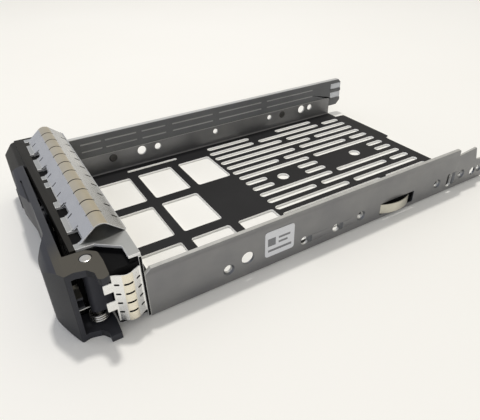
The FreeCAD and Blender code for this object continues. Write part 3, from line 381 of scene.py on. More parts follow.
# %% [markdown]
# ## Sheet metal made as in a press shop
#
# The tray and the springs are punched flat and then formed. The same is done here: a flat blank is filled
# with triangles between its outline and its holes, it gets its thickness and rounded edges, and one
# formula then folds every point.

# %% Mesh builder
def rounded(corners, steps=6):
    """Points of a closed outline from corners (a, b, radius): each radius becomes an arc of even steps."""
    points = []
    for i, corner in enumerate(corners):
        here = np.array(corner[:2], float)
        radius = corner[2] if len(corner) > 2 else 0.0
        if radius == 0.0:
            points.append(here[None])
            continue
        back = np.array(corners[i - 1][:2]) - here
        ahead = np.array(corners[(i + 1) % len(corners)][:2]) - here
        back /= np.linalg.norm(back)
        ahead /= np.linalg.norm(ahead)
        half = math.acos(np.clip(back @ ahead, -1, 1)) / 2
        centre = here + (back + ahead) / np.linalg.norm(back + ahead) * radius / math.sin(half)
        start = here + back * radius / math.tan(half) - centre
        end = here + ahead * radius / math.tan(half) - centre
        first, last = math.atan2(start[1], start[0]), math.atan2(end[1], end[0])
        turn = (last - first + math.pi) % (2 * math.pi) - math.pi
        angles = first + turn * np.linspace(0, 1, steps + 1)
        points.append(centre + radius * np.stack([np.cos(angles), np.sin(angles)], 1))
    return np.concatenate(points)


def round_hole(a, b, radius, steps=28):
    """Points of a circle."""
    angles = 2 * np.pi * np.arange(steps) / steps
    return np.stack([a + radius * np.cos(angles), b + radius * np.sin(angles)], 1)


def window_hole(a, b, radius, steps=4):
    """Points of a rectangle with rounded corners between two spans."""
    corners = ((a[0], b[0]), (a[1], b[0]), (a[1], b[1]), (a[0], b[1]))
    return rounded([(*corner, radius) for corner in corners], steps)


def slot_hole(a, b):
    """Points of a slot with round ends between two spans."""
    return window_hole(a, b, min(a[1] - a[0], b[1] - b[0]) / 2 * 0.999, 5)


def inside(points, loops):
    """True where a point lies inside an odd number of loops, by counting edge crossings to its right."""
    count = np.zeros(len(points), int)
    for loop in loops:
        x0, y0 = loop.T
        x1, y1 = np.roll(loop, -1, 0).T
        px, py = points[:, :1], points[:, 1:]
        crosses = (y0 > py) != (y1 > py)
        safe = np.where(y1 == y0, 1.0, y1 - y0)
        count += (crosses & (px < (x1 - x0) * (py - y0) / safe + x0)).sum(1)
    return count % 2 == 1


def blank(outer, holes, thickness, edge, lines=(), rims=()):
    """Flat punched sheet: points (a, b, depth), faces, their paint (1 on cut edges) and upper centres.

    The flat is triangulated between its loops and along the lines and rims. Each point is then kept in
    four layers, and those on a cut edge are pulled in by the edge radius in the first and the last.
    """
    loops = [outer, *holes]
    points, edges = [], []
    for chain in [*loops, *rims]:
        start = len(points)
        points += [Vector(p) for p in chain]
        edges += [(start + k, start + (k + 1) % len(chain)) for k in range(len(chain))]
    for first, last in lines:
        edges.append((len(points), len(points) + 1))
        points += [Vector(first), Vector(last)]
    flat, _, faces, *_ = delaunay_2d_cdt(points, edges, [], 0, 1e-5, False)
    flat, faces = np.array([tuple(p) for p in flat]), np.array(faces)
    faces = faces[inside(flat[faces].mean(1), loops)]
    sides = np.concatenate([faces[:, [0, 1]], faces[:, [1, 2]], faces[:, [2, 0]]])
    total = len(flat)
    keys = np.sort(sides, 1)
    _, first_at, counts = np.unique(keys[:, 0] * total + keys[:, 1], return_index=True, return_counts=True)
    border = sides[first_at[counts == 1]]
    along = flat[border[:, 1]] - flat[border[:, 0]]
    inward = np.stack([-along[:, 1], along[:, 0]], 1) / np.linalg.norm(along, axis=1)[:, None]
    pull = np.zeros((total, 2))
    np.add.at(pull, border[:, 0], inward)
    np.add.at(pull, border[:, 1], inward)
    size = (pull ** 2).sum(1)
    pull *= np.where(size > 0.1, 2 / np.maximum(size, 0.1), 0)[:, None] * edge
    depths = (thickness, thickness - edge, edge, 0.0)
    layers = [np.column_stack([plane, np.full(total, depth)])
              for plane, depth in zip((flat + pull, flat, flat, flat + pull), depths)]
    made = [tuple(f) for f in faces] + [tuple(f[::-1] + 3 * total) for f in faces]
    for upper in range(0, 3 * total, total):
        made += [(j + upper, i + upper, i + upper + total, j + upper + total) for i, j in border]
    centres = np.full((len(made), 2), np.nan)
    centres[:len(faces)] = flat[faces].mean(1)
    paint = np.where(np.arange(len(made)) < 2 * len(faces), 0, 1)
    return np.concatenate(layers), made, paint, centres


def add_piece(name, mesh, materials, body, replaced, smooth):
    """Puts a mesh in the scene as a piece that rides on a body, smooth but for edges over an angle."""
    mesh.polygons.foreach_set("use_smooth", np.ones(len(mesh.polygons), bool))
    mesh.set_sharp_from_angle(angle=math.radians(smooth))
    for material in materials:
        mesh.materials.append(material)
    piece = link(name, mesh)
    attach(piece, body)
    if replaced:
        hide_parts(*replaced)
    print(name, "faces:", len(mesh.polygons))
    return piece


def solid(name, points, faces, materials, body, replaced, slot, smooth=20.0, paint=None):
    """Piece from points in millimetres. The paint gives each face the number of its material.

    Where the enclosed volume comes out negative, all faces are turned over.
    """
    used = np.unique(np.concatenate([np.array(f) for f in faces]))
    number = np.full(len(points), -1)
    number[used] = np.arange(len(used))
    mesh = bpy.data.meshes.new(name)
    mesh.from_pydata(points[used] * MM, [], [[int(number[i]) for i in f] for f in faces])
    if paint is not None:
        mesh.polygons.foreach_set("material_index", np.asarray(paint, np.int32))
    mesh.update()
    mesh.validate()
    work = bmesh.new()
    work.from_mesh(mesh)
    if work.calc_volume(signed=True) < 0:
        bmesh.ops.reverse_faces(work, faces=work.faces)
        work.to_mesh(mesh)
    work.free()
    add_piece(name, mesh, materials, body, replaced, smooth)


# %% [markdown]
# ## The tray
#
# The tray's blank holds the floor in its middle and a wall on each side. Along both bends the neutral
# fibre keeps its length, so a wall starts after a quarter circle of it.

# %% Tray
ORIGIN_BEHIND = 100.0
SHEET, BEND, TRAY_EDGE = 1.0, 1.4, 0.14
FOLD_LENGTH = math.pi / 2 * (BEND - SHEET / 2)
HALF_OUTER, REAR, NEAR_TOP = limits("tray")[1]
HALF_INNER = HALF_OUTER - SHEET
FLAT_HALF = HALF_OUTER - BEND
FILM_HALF = FLAT_HALF - 0.3 * FOLD_LENGTH
FAR_TOP = 11.3
WALL_START = 17.0 - ORIGIN_BEHIND
FRONT_CORNER = 2.0
TONGUE_HALF, TONGUE_DEPTH = 36.0, 9.0
BEAD_START, BEAD_RAMP = 17.5, 2.4
BEAD_OUT, BEAD_IN = 0.45, 0.15

# Rear end of the near wall: distance before its end, drop from its top edge, radius
REAR_CORNERS = ((23.1, -0.3, 1.0), (21.9, 3.2, 0.5), (10.3, 2.0, 0.8), (8.1, 8.8, 0.6), (0.8, 9.6, 1.2))
TAIL_HEIGHT = 6.0
FLOOR_SETBACK, LIP_SETBACK, FAR_SETBACK = 6.5, 3.5, 9.5
FLOOR_LIP, LIP_RAMPS = (8.0, 46.0), (0.6, 1.6)


def behind(distance):
    """Station on the Y axis for a distance behind the front edge of the bezel's top plate."""
    return distance - ORIGIN_BEHIND


def wall(height):
    """Distance across the blank of a height on the near wall. The far wall's is its negative."""
    return FLAT_HALF + FOLD_LENGTH + height - BEND


def smooth_step(share):
    """Smooth passage from 0 to 1: three times the square less twice the cube of the clipped share."""
    share = np.clip(share, 0, 1)
    return share * share * (3 - 2 * share)


def fold_tray(points):
    """Folds the blank: across the floor, round a quarter circle, then straight up the wall.

    The near wall's upper edge is thicker: above a height, both faces move away from the middle.
    """
    across, along, depth = points.T
    side = np.sign(across)
    past = np.abs(across) - FLAT_HALF
    angle = np.clip(past / FOLD_LENGTH, 0, 1) * np.pi / 2
    straight = np.clip(past - FOLD_LENGTH, 0, None)
    radius = BEND - depth
    x = side * (np.minimum(np.abs(across), FLAT_HALF) + radius * np.sin(angle))
    z = BEND - radius * np.cos(angle) + straight
    z = np.where(angle < np.pi / 2, z, BEND + straight)
    swell = smooth_step((z - BEAD_START) / BEAD_RAMP) * (across > 0)
    x = x + swell * (BEAD_OUT * (1 - depth / SHEET) - BEAD_IN * depth / SHEET)
    return np.stack([x, along, z], 1)


def tray_outline():
    """Outline of the blank, from the far wall's front corner."""
    lip_far, lip_near = (start - HALF_INNER for start in FLOOR_LIP)
    rear_end = [(wall(NEAR_TOP - drop), REAR - before, radius) for before, drop, radius in REAR_CORNERS]
    return rounded([
        (-wall(FAR_TOP), WALL_START, 1.0),
        (-TONGUE_HALF, WALL_START),
        (-TONGUE_HALF, WALL_START - TONGUE_DEPTH, 1.0),
        (TONGUE_HALF, WALL_START - TONGUE_DEPTH, 1.0),
        (TONGUE_HALF, WALL_START),
        (wall(NEAR_TOP - FRONT_CORNER), WALL_START),
        (wall(NEAR_TOP), WALL_START + FRONT_CORNER),
        *rear_end,
        (wall(TAIL_HEIGHT), REAR),
        (HALF_INNER - BEND, REAR),
        (HALF_INNER - BEND, REAR - FLOOR_SETBACK),
        (lip_near + LIP_RAMPS[1], REAR - FLOOR_SETBACK, 0.8),
        (lip_near, REAR - LIP_SETBACK, 1.0),
        (lip_far, REAR - LIP_SETBACK, 1.0),
        (lip_far - LIP_RAMPS[0], REAR - FAR_SETBACK),
        (-wall(FAR_TOP), REAR - FAR_SETBACK, 1.0),
    ])


WINDOW_COUNT = 3
WINDOW_MARGINS = (12.0, 4.5)
WINDOW_BRIDGE = 6.0
WINDOW_FIRST, WINDOW_PITCH, WINDOW_HALF = 32.7, 22.0, 8.75
SOLID_CELL = (1, 2)
SLOT_HALF = 1.45
SLOT_MARGINS = (5.4, 3.9)
SLOT_START, SLOT_END = 87.4, 177.3
OUTERMOST = ((89.0, 115.5), (134.6, 160.5))
IN_THREE = ((SLOT_START, 114.8), (118.8, 161.3), (165.3, SLOT_END))
IN_TWO = ((SLOT_START, 130.0), (134.0, SLOT_END))
LONG_FIRST = ((SLOT_START, 145.5), (149.5, SLOT_END))
BESIDE_HOLES = ((SLOT_START, 99.0), (118.7, 130.7), (166.7, SLOT_END))
HALF_ROWS = (OUTERMOST, IN_THREE, IN_TWO, LONG_FIRST, IN_TWO, IN_THREE, IN_TWO, BESIDE_HOLES)
SIDE_SLOT, SIDE_SLOT_HALF = (43.0, 70.0), 0.8
FLOOR_HOLES, FLOOR_HOLE_RADIUS = (106.9, 154.2), 2.8


def floor_holes():
    """Windows, slots and holes of the floor."""
    holes = []
    first_x = WINDOW_MARGINS[0] - HALF_INNER
    pitch = (HALF_INNER - WINDOW_MARGINS[1] - first_x + WINDOW_BRIDGE) / WINDOW_COUNT
    for column in range(WINDOW_COUNT):
        for row in range(WINDOW_COUNT):
            if (column, row) != SOLID_CELL:
                x, y = first_x + column * pitch, behind(WINDOW_FIRST + row * WINDOW_PITCH)
                span = (y - WINDOW_HALF, y + WINDOW_HALF)
                holes.append(window_hole((x, x + pitch - WINDOW_BRIDGE), span, 1.0))
    rows = HALF_ROWS + HALF_ROWS[::-1]
    far_x = SLOT_MARGINS[0] - HALF_INNER
    pitch = (HALF_INNER - SLOT_MARGINS[1] - far_x) / (len(rows) - 1)
    for row, spans in enumerate(rows):
        x = far_x + row * pitch
        holes += [slot_hole((x - SLOT_HALF, x + SLOT_HALF), (behind(s), behind(e))) for s, e in spans]
    holes.append(slot_hole((far_x - SIDE_SLOT_HALF, far_x + SIDE_SLOT_HALF), [behind(s) for s in SIDE_SLOT]))
    middle = far_x + pitch * (len(rows) - 1) / 2
    return holes + [round_hole(middle, behind(s), FLOOR_HOLE_RADIUS, 36) for s in FLOOR_HOLES]


# %% [markdown]
# The near wall's small holes are pressed inwards for sunk screws, and beside some holes the sheet is
# pressed flat. A place on a wall is its distance behind the front and its height.

# %% Walls
SUNK_HOLES = ((46.4, 6.5), (108.7, 6.2), (155.2, 6.4), (172.1, 6.5), (185.7, 6.2))
SUNK_RADIUS = 1.5
SINK_WIDTH, SINK_DEPTH = 0.75, 0.7
KEYED_HOLES, KEYED_RADIUS = ((79.6, 5.7), (95.4, 5.6)), 1.7
PLAIN_HOLES = ((54.2, 8.4, 2.5), (180.6, 5.6, 1.9))
FAR_HOLES = ((62.6, 1.7), (164.2, 1.7), (53.7, 2.3), (157.7, 2.3), (97.2, 1.4), (133.9, 1.4))
FAR_HOLE_HEIGHT = 8.3
FAR_DIMPLES = ((38.4, FAR_TOP - 3.2), (143.1, FAR_TOP - 3.2))
DIMPLE_RADIUS, DIMPLE_SLOPE, DIMPLE_DEPTH = 2.1, 0.5, 0.35

# Openings and recesses: the span behind the front, then the span of heights
WALL_SLOT = ((162.0, 164.9), (2.6, 9.4))
LEAF_WINDOW = ((119.8, 139.8), (2.6, 7.9))
RECESSES = (((81.1, 83.3), (3.7, 7.1)), ((96.9, 99.1), (3.6, 7.0)), ((165.0, 167.4), (2.8, 9.2)))
RECESS_SLOPE, RECESS_DEPTH = 0.45, 0.55
EDGE_REACH = 0.2

# Numbers of the tray's finishes, among them painted reflections on cut edges and painted shades
BARE, CUT, FILM, FLOOR_CUT, RECESS, DIMPLE = range(6)
TRAY_FINISHES = (TRAY_STEEL, CUT_EDGE_REFLECTION, FLOOR_FILM, FLOOR_RIM_REFLECTION, RECESS_STEEL, RIVETS_AND_DIMPLE_SHADE)


def wall_opening(stations, heights, inset, radius):
    """Rounded window on the near wall, moved in by an inset."""
    (start, end), (low, high) = stations, heights
    return window_hole(
        (wall(low + inset), wall(high - inset)), (behind(start + inset), behind(end - inset)), radius)


def wall_holes():
    """Holes of both walls, in the blank's plane."""
    holes = [round_hole(wall(z), behind(s), SUNK_RADIUS) for s, z in SUNK_HOLES]
    holes += [round_hole(wall(z), behind(s), KEYED_RADIUS) for s, z in KEYED_HOLES]
    holes += [round_hole(wall(z), behind(s), radius) for s, z, radius in PLAIN_HOLES]
    (start, end), (low, high) = WALL_SLOT
    holes.append(slot_hole((wall(low), wall(high)), (behind(start), behind(end))))
    holes.append(wall_opening(*LEAF_WINDOW, 0.0, 0.4))
    return holes + [round_hole(-wall(FAR_HOLE_HEIGHT), behind(s), radius) for s, radius in FAR_HOLES]


def away_from(across, along, station, height):
    """Distance in the blank's plane from a place on the near wall."""
    return np.hypot(across - wall(height), along - behind(station))


def sink_dimples(points):
    """Presses the walls inwards: a cone round each sunk hole, round dimples and flat recesses."""
    across, along, depth = points.T
    moved = depth.copy()
    for place in SUNK_HOLES:
        away = away_from(across, along, *place) - SUNK_RADIUS
        moved = moved + SINK_DEPTH * smooth_step(1 - away / SINK_WIDTH)
    for place in FAR_DIMPLES:
        inner = DIMPLE_RADIUS - away_from(-across, along, *place)
        moved = moved + DIMPLE_DEPTH * np.clip(inner / DIMPLE_SLOPE, 0, 1)
    for (start, end), (low, high) in RECESSES:
        inner = np.minimum.reduce([
            along - behind(start), behind(end) - along, across - wall(low), wall(high) - across])
        moved = moved + RECESS_DEPTH * np.clip(inner / RECESS_SLOPE, 0, 1)
    return np.stack([across, along, moved], 1)


def tray_paint(points, faces, paint, centres):
    """Number of each face's finish, from the place of its middle. Only upper faces have a centre."""
    middles = np.array([points[list(face)].mean(0) for face in faces])
    across, along = middles[:, 0], middles[:, 1]
    # The floor's cut edges get the painted paper reflection.
    paint[(paint == CUT) & (np.abs(across) < FILM_HALF)] = FLOOR_CUT
    paint[np.abs(centres[:, 0]) < FILM_HALF] = FILM
    # Painted shade on the cones round the sunk holes.
    for place in SUNK_HOLES:
        paint[(away_from(across, along, *place) < SUNK_RADIUS + SINK_WIDTH) & (paint != CUT)] = RECESS
    # Painted shade in the far wall's dimples.
    for place in FAR_DIMPLES:
        paint[away_from(-across, along, *place) < DIMPLE_RADIUS] = DIMPLE
    # Painted shade in the pressed recesses.
    for recess in RECESSES:
        pressed = inside(middles[:, :2], [wall_opening(*recess, 0.0, 0.0)])
        paint[pressed & (middles[:, 2] < SHEET)] = RECESS
    # Painted shade on the plain holes' cut edges.
    for station, height, radius in PLAIN_HOLES:
        paint[(paint == CUT) & (away_from(across, along, station, height) < radius + EDGE_REACH)] = RECESS
    # Painted shade on the cut edges of the leaf window.
    paint[(paint == CUT) & inside(middles[:, :2], [wall_opening(*LEAF_WINDOW, -0.5, 0.4)])] = RECESS
    return paint


def make_tray():
    """Punched and folded tray: a black film on its floor, bare cut edges with a painted reflection, painted
    shade in hollows.
    """
    shares = [-0.35, *np.linspace(0, 1, 9), 1.35]
    creases = [side * (FLAT_HALF + FOLD_LENGTH * share) for side in (-1, 1) for share in shares]
    creases += list(wall(np.linspace(BEAD_START, BEAD_START + BEAD_RAMP, 6)))
    lines = [((across, WALL_START - 20), (across, REAR + 20)) for across in creases]
    rims = []
    for station, height in FAR_DIMPLES:
        rims += [round_hole(-wall(height), behind(station), DIMPLE_RADIUS - DIMPLE_SLOPE * share)
                 for share in (0.0, 0.5, 1.0)]
    for recess in RECESSES:
        rims += [wall_opening(*recess, inset, 0.6) for inset in (0.0, RECESS_SLOPE)]
    for station, height in SUNK_HOLES:
        rims += [round_hole(wall(height), behind(station), SUNK_RADIUS + SINK_WIDTH * share)
                 for share in (0.33, 0.66, 1.0)]
    holes = floor_holes() + wall_holes()
    points, faces, paint, centres = blank(tray_outline(), holes, SHEET, TRAY_EDGE, lines, rims)
    paint = tray_paint(points, faces, paint, centres)
    solid("tray_sheet", fold_tray(sink_dimples(points)), faces, TRAY_FINISHES, "caddy", ["tray"],
          "tray_steel", paint=paint)


make_tray()

# %% [markdown]
# ## Contact springs
#
# Each spring is a strip of hard stainless steel, slit into fingers and bowed between two feet. The strip's
# angle is known at every distance along it, so its profile is the running sum of the cosine and the sine.

# %% Bowed profile
STRIP, STRIP_EDGE = 0.3, 0.04
FOOT_RADIUS = 0.5
TOE = 0.35
CORNER, TAB_CORNER = 0.1, 0.25
# Paint numbers of a spring: 1 painted shade in the slits, 2 a painted edge highlight, 3 a painted warm
# reflection on the crown.
SLIT_PAINT, END_PAINT, CROWN_PAINT = 1, 2, 3


def running_sum(values):
    """Sums of the first values, from none of them to all."""
    return np.concatenate([[0], np.cumsum(values)])


def bow_profile(feet, rise, crown):
    """Tables of distance along the strip, place behind, height and angle of its upper face.

    The strip runs flat, bends up by the flank's angle, runs straight, turns over the crown and comes
    down the same way. The flank's angle is the one at which the toes come out as long as wished.
    """
    half_span = (feet[1] - feet[0]) / 2
    angles = np.radians(np.linspace(15, 70, 400))
    flanks = (rise - STRIP - (FOOT_RADIUS + crown) * (1 - np.cos(angles))) / np.sin(angles)
    toes = half_span - (FOOT_RADIUS + crown) * np.sin(angles) - flanks * np.cos(angles)
    best = np.argmin(np.abs(toes - TOE))
    angle, flank, toe = angles[best], flanks[best], toes[best]
    bend = FOOT_RADIUS * angle
    knots = running_sum([toe, bend, flank, 2 * crown * angle, flank, bend, toe])
    tilt = np.array([0, 0, angle, angle, -angle, -angle, 0, 0])
    along = np.linspace(0, knots[-1], 2401)
    lean = np.interp(along, knots, tilt)
    step = along[1] - along[0]
    middle = (lean[1:] + lean[:-1]) / 2
    place = feet[0] + running_sum(np.cos(middle)) * step
    height = STRIP + running_sum(np.sin(middle)) * step
    return along, place, height, lean, knots


def bow(points, table):
    """Folds a blank: each point goes to its place on the upper face, less its depth along the normal.

    A tab runs straight on before the strip's start.
    """
    across, run, depth = points.T
    along, place, height, lean, _ = table
    angle = np.interp(run, along, lean)
    below = STRIP - depth
    behind_front = np.interp(run, along, place) + np.minimum(run, 0) + below * np.sin(angle)
    up = np.interp(run, along, height) - below * np.cos(angle)
    return across, behind_front, up


def slit_strip(span, fingers, table, spans, tabs):
    """Blank of a strip with slits between its fingers, and the finish of each face.

    A slit's span is given behind the front, with its width. A tab reaches to the front of the strip.
    """
    along, place, _, _, knots = table
    low, high = span
    outline = [(low, 0.0, CORNER)]
    for start, end, reach in tabs:
        outline += [(start, 0.0), (start, -reach, TAB_CORNER), (end, -reach, TAB_CORNER), (end, 0.0)]
    outline += [(high, 0.0, CORNER), (high, knots[-1], CORNER), (low, knots[-1], CORNER)]
    holes = []
    pitch = (high - low) / fingers
    for k in range(1, fingers):
        middle = low + k * pitch
        for start, end, gap in spans:
            run = np.interp((start, end), place, along)
            holes.append(slot_hole((middle - gap / 2, middle + gap / 2), run))
    bends = [np.linspace(knots[at], knots[at + 1], count) for at, count in ((1, 5), (3, 19), (5, 5))]
    lines = [((low - 5, run), (high + 5, run)) for run in np.concatenate(bends)]
    points, faces, paint, _ = blank(rounded(outline, 3), holes, STRIP, STRIP_EDGE, lines)
    middles = np.array([points[list(face)].mean(0) for face in faces])
    across, run = middles[:, 0], middles[:, 1]
    outer = (across < low + CORNER) | (across > high - CORNER)
    outer |= (run < CORNER) | (run > knots[-1] - CORNER)
    # Outer cut faces take the painted edge highlight.
    paint[(paint == SLIT_PAINT) & outer] = END_PAINT
    # The crown's upper faces take the painted warm reflection.
    paint[(run > knots[3]) & (run < knots[4]) & (paint == 0)] = CROWN_PAINT
    return points, faces, paint


# %% [markdown]
# The top spring lies across the bezel's top plate. Its slits are as thin as a saw cut over the crown, and
# short ones at both feet let the fingers move one by one. Its front foot is notched at the clip windows.

# %% Top spring
top_low, top_high = limits("top_contact_spring")
PLATE_TOP = limits("bezel_body")[1][2]
TOP_FINGERS, TOP_CROWN = 11, 3.45
TOP_SLITS = ((7.3, 12.4, 0.5), (2.75, 4.4, 0.5), (15.2, 17.0, 0.85))
CLIP_SPANS = ((-34.9, -29.3), (-19.2, -12.8), (13.0, 20.1), (29.7, 37.0))
CLIP_DEPTH = 3.9


def make_top_spring():
    """Bowed strip with eleven fingers on the top plate, notched at the windows."""
    feet = (top_low[1] + ORIGIN_BEHIND, top_high[1] + ORIGIN_BEHIND)
    table = bow_profile(feet, top_high[2] - PLATE_TOP, TOP_CROWN)
    notch = -np.interp(CLIP_DEPTH, table[1], table[0])
    notches = [(start, end, notch) for start, end in CLIP_SPANS]
    points, faces, paint = slit_strip((top_low[0], top_high[0]), TOP_FINGERS, table, TOP_SLITS, notches)
    across, place, up = bow(points, table)
    shaped = np.stack([across, behind(place), PLATE_TOP + up], 1)
    finishes = [SPRING_STEEL, SLIT_SHADE, EDGE_HIGHLIGHT_STEEL, CROWN_WARM_REFLECTION]
    solid("top_finger_spring", shaped, faces, finishes,
          "caddy", ["top_contact_spring"], "spring_steel", paint=paint)


make_top_spring()

# %% [markdown]
# The side spring is bowed outwards from the near block. It is the same strip on its edge, with two tabs at
# its front that hook round the block.

# %% Side spring
side_low, side_high = limits("side_contact_spring")
SIDE_SLITS = ((10.0, 12.9, 0.65), (7.4, 8.8, 0.65), (14.2, 15.6, 0.65))
SIDE_TABS = ((9.2, 12.8), (16.4, 19.9))
SIDE_FEET = (6.9, 16.0)
SIDE_FINGERS, SIDE_CROWN = 5, 3.3


def make_side_spring():
    """Bowed strip with five fingers on the near block's side."""
    table = bow_profile(SIDE_FEET, side_high[0] - side_low[0], SIDE_CROWN)
    reach = SIDE_FEET[0] - (side_low[1] + ORIGIN_BEHIND)
    tabs = [(low, high, reach) for low, high in SIDE_TABS]
    points, faces, paint = slit_strip((side_low[2], side_high[2]), SIDE_FINGERS, table, SIDE_SLITS, tabs)
    height, place, out = bow(points, table)
    shaped = np.stack([side_low[0] + out, behind(place), height], 1)
    finishes = [SIDE_SPRING_STEEL, SLIT_SHADE, EDGE_HIGHLIGHT_STEEL, SIDE_CROWN_WARM_REFLECTION]
    solid("side_finger_spring", shaped, faces, finishes,
          "caddy", ["side_contact_spring"], "spring_steel", paint=paint)


make_side_spring()

# %% [markdown]
# ## Turned and wound parts
#
# A pin is turned on a lathe, so its surface is a profile carried round an axis. A spring's wire is a circle
# carried along a path, with a frame that turns with the path.

# %% Lathe and wire
def turned(axis, profile, steps=40):
    """Lathe: each profile point (radius, height) becomes a ring round an upright axis."""
    radius, height = np.array(profile, float).T
    turn = 2 * np.pi * np.arange(steps) / steps
    x = axis[0] + radius[:, None] * np.cos(turn)
    y = axis[1] + radius[:, None] * np.sin(turn)
    z = np.broadcast_to(height[:, None], x.shape)
    return np.stack([x, y, z], 2).reshape(-1, 3), tube_faces(len(profile), steps)


def tube_faces(rings, steps):
    """Quads between neighbouring rings, and one flat face on each end."""
    ring, step = np.meshgrid(np.arange(rings - 1), np.arange(steps), indexing="ij")
    here = ring * steps + step
    beside = ring * steps + (step + 1) % steps
    quads = np.stack([here, beside, beside + steps, here + steps], 2).reshape(-1, 4)
    last = (rings - 1) * steps
    return [tuple(q) for q in quads] + [tuple(range(steps))[::-1], tuple(range(last, last + steps))]


def wire(path, side, radius, steps=12):
    """Wire: a circle carried along a path. The side direction is given at each point."""
    ahead = np.gradient(path, axis=0)
    ahead /= np.linalg.norm(ahead, axis=1)[:, None]
    side = side - (side * ahead).sum(1)[:, None] * ahead
    side /= np.linalg.norm(side, axis=1)[:, None]
    other = np.cross(ahead, side)
    swell = np.full(len(path), radius)
    swell[[0, -1]] = radius * 0.75
    turn = 2 * np.pi * np.arange(steps) / steps
    rings = path[:, None] + swell[:, None, None] * (
        side[:, None] * np.cos(turn)[:, None] + other[:, None] * np.sin(turn)[:, None])
    return rings.reshape(-1, 3), tube_faces(len(path), steps)


# %% [markdown]
# The hinge pin has a shallow head in the lever's upper flange. The torsion spring winds three times round
# the knuckle's foot, and its two straight legs lean on the bezel and on the lever.

# %% Hinge
pin_low, pin_high = limits("lever_pin")
hinge = next(joint for joint in frame["joints"] if joint["name"] == "lever_swing")
PIN_X, PIN_Y = hinge["pos_m"][0] / MM, hinge["pos_m"][1] / MM
HEAD_RADIUS = (pin_high[0] - pin_low[0]) / 2
COIL_RADIUS, COIL_WIRE, COIL_TURNS = 2.8, 0.4, 3
COIL_START, COIL_PITCH = 3.1, 0.9
COIL_LEGS, LEG_START, LEG_POINTS = (4.3, 8.9), 0.4, (6, 8)
PIN_RADIUS, PIN_CHAMFER, HEAD_HEIGHT = 1.5, 0.3, 0.8

# The head's rounded outline: distance in from its radius and down from its top
HEAD_ROUND = ((0.05, HEAD_HEIGHT), (0.0, 0.7), (0.0, 0.25), (0.08, 0.1), (0.25, 0.02), (0.45, 0.0))
pin_profile = [(PIN_RADIUS - PIN_CHAMFER, pin_low[2]), (PIN_RADIUS, pin_low[2] + PIN_CHAMFER),
               (PIN_RADIUS, pin_high[2] - HEAD_HEIGHT)]
pin_profile += [(HEAD_RADIUS - inward, pin_high[2] - down) for inward, down in HEAD_ROUND]
pin_profile.append((0.5, pin_high[2]))
solid("hinge_pin", *turned((PIN_X, PIN_Y), pin_profile), [PIN_STEEL],
      "lever", ["lever_pin"], "pin_steel", 35.0)


def coil_path():
    """Rear leg, a helix of three turns, and the front leg, with the direction away from the axis."""
    turn = np.linspace(0, 2 * np.pi * COIL_TURNS, 36 * COIL_TURNS + 1)
    helix = np.stack([-COIL_RADIUS * np.cos(turn), -COIL_RADIUS * np.sin(turn),
                      COIL_START + COIL_PITCH * turn / (2 * np.pi)], 1)
    out = np.stack([-np.cos(turn), -np.sin(turn), 0 * turn], 1)
    rear = np.linspace((0, COIL_LEGS[0], 0), (0, LEG_START, 0), LEG_POINTS[0]) + helix[0]
    front = np.linspace((0, -LEG_START, 0), (0, -COIL_LEGS[1], 0), LEG_POINTS[1]) + helix[-1]
    path = np.concatenate([rear, helix, front]) + (PIN_X, PIN_Y, 0)
    first, last = (np.repeat(out[[at]], count, 0) for at, count in zip((0, -1), LEG_POINTS))
    return path, np.concatenate([first, out, last])


solid("torsion_coil", *wire(*coil_path(), COIL_WIRE), [PIN_STEEL],
      "caddy", ["lever_spring"], "pin_steel", 50.0)

# %% [markdown]
# ## Label
#
# The label is a paper rectangle with round corners, stuck on the near wall's outside.

# %% Label
def upright_sheet(name, spans, radius, inner_x, thickness, edge, material, replaced, slot):
    """Rounded rectangle of sheet that stands along the near wall, from its inner face outwards."""
    points, faces, _, _ = blank(window_hole(*spans, radius), [], thickness, edge)
    shaped = np.stack([inner_x + points[:, 2], points[:, 0], points[:, 1]], 1)
    solid(name, shaped, faces, [material], "caddy", replaced, slot)


label_spans = tuple(zip(label_low[1:], label_high[1:]))
upright_sheet("blank_label", label_spans, 1.2, label_low[0], label_high[0] - label_low[0], 0.03,
              LABEL_PAPER, ["plain_label"], "label_paper")

# %% [markdown]
# ## Leaf spring's seat
#
# The leaf spring is the bowed middle of a longer strip. The rest lies flat inside the wall and closes
# the window from within. It is coloured near black as painted shade, so the window looks dark.

# %% Leaf seat
SEAT_SPAN, SEAT_HEIGHTS = (117.0, 144.0), (1.9, 8.8)
SEAT_SHEET, SEAT_INSET = 0.3, 0.75

upright_sheet("leaf_seat", ([behind(s) for s in SEAT_SPAN], SEAT_HEIGHTS), 1.0, HALF_INNER - SEAT_INSET,
              SEAT_SHEET, 0.05, SHADE_BLACK, [], "leaf_spring")

# %% [markdown]
# ## Mouldings
#
# The moulded parts, the shield and the rivets are right in the CAD but for their edges. A rounded edge
# catches a line of light, so each part is copied, its triangles are merged into flat faces, and a Bevel
# modifier rounds its edges. The bevel's own faces can get a lighter finish, a painted edge highlight.

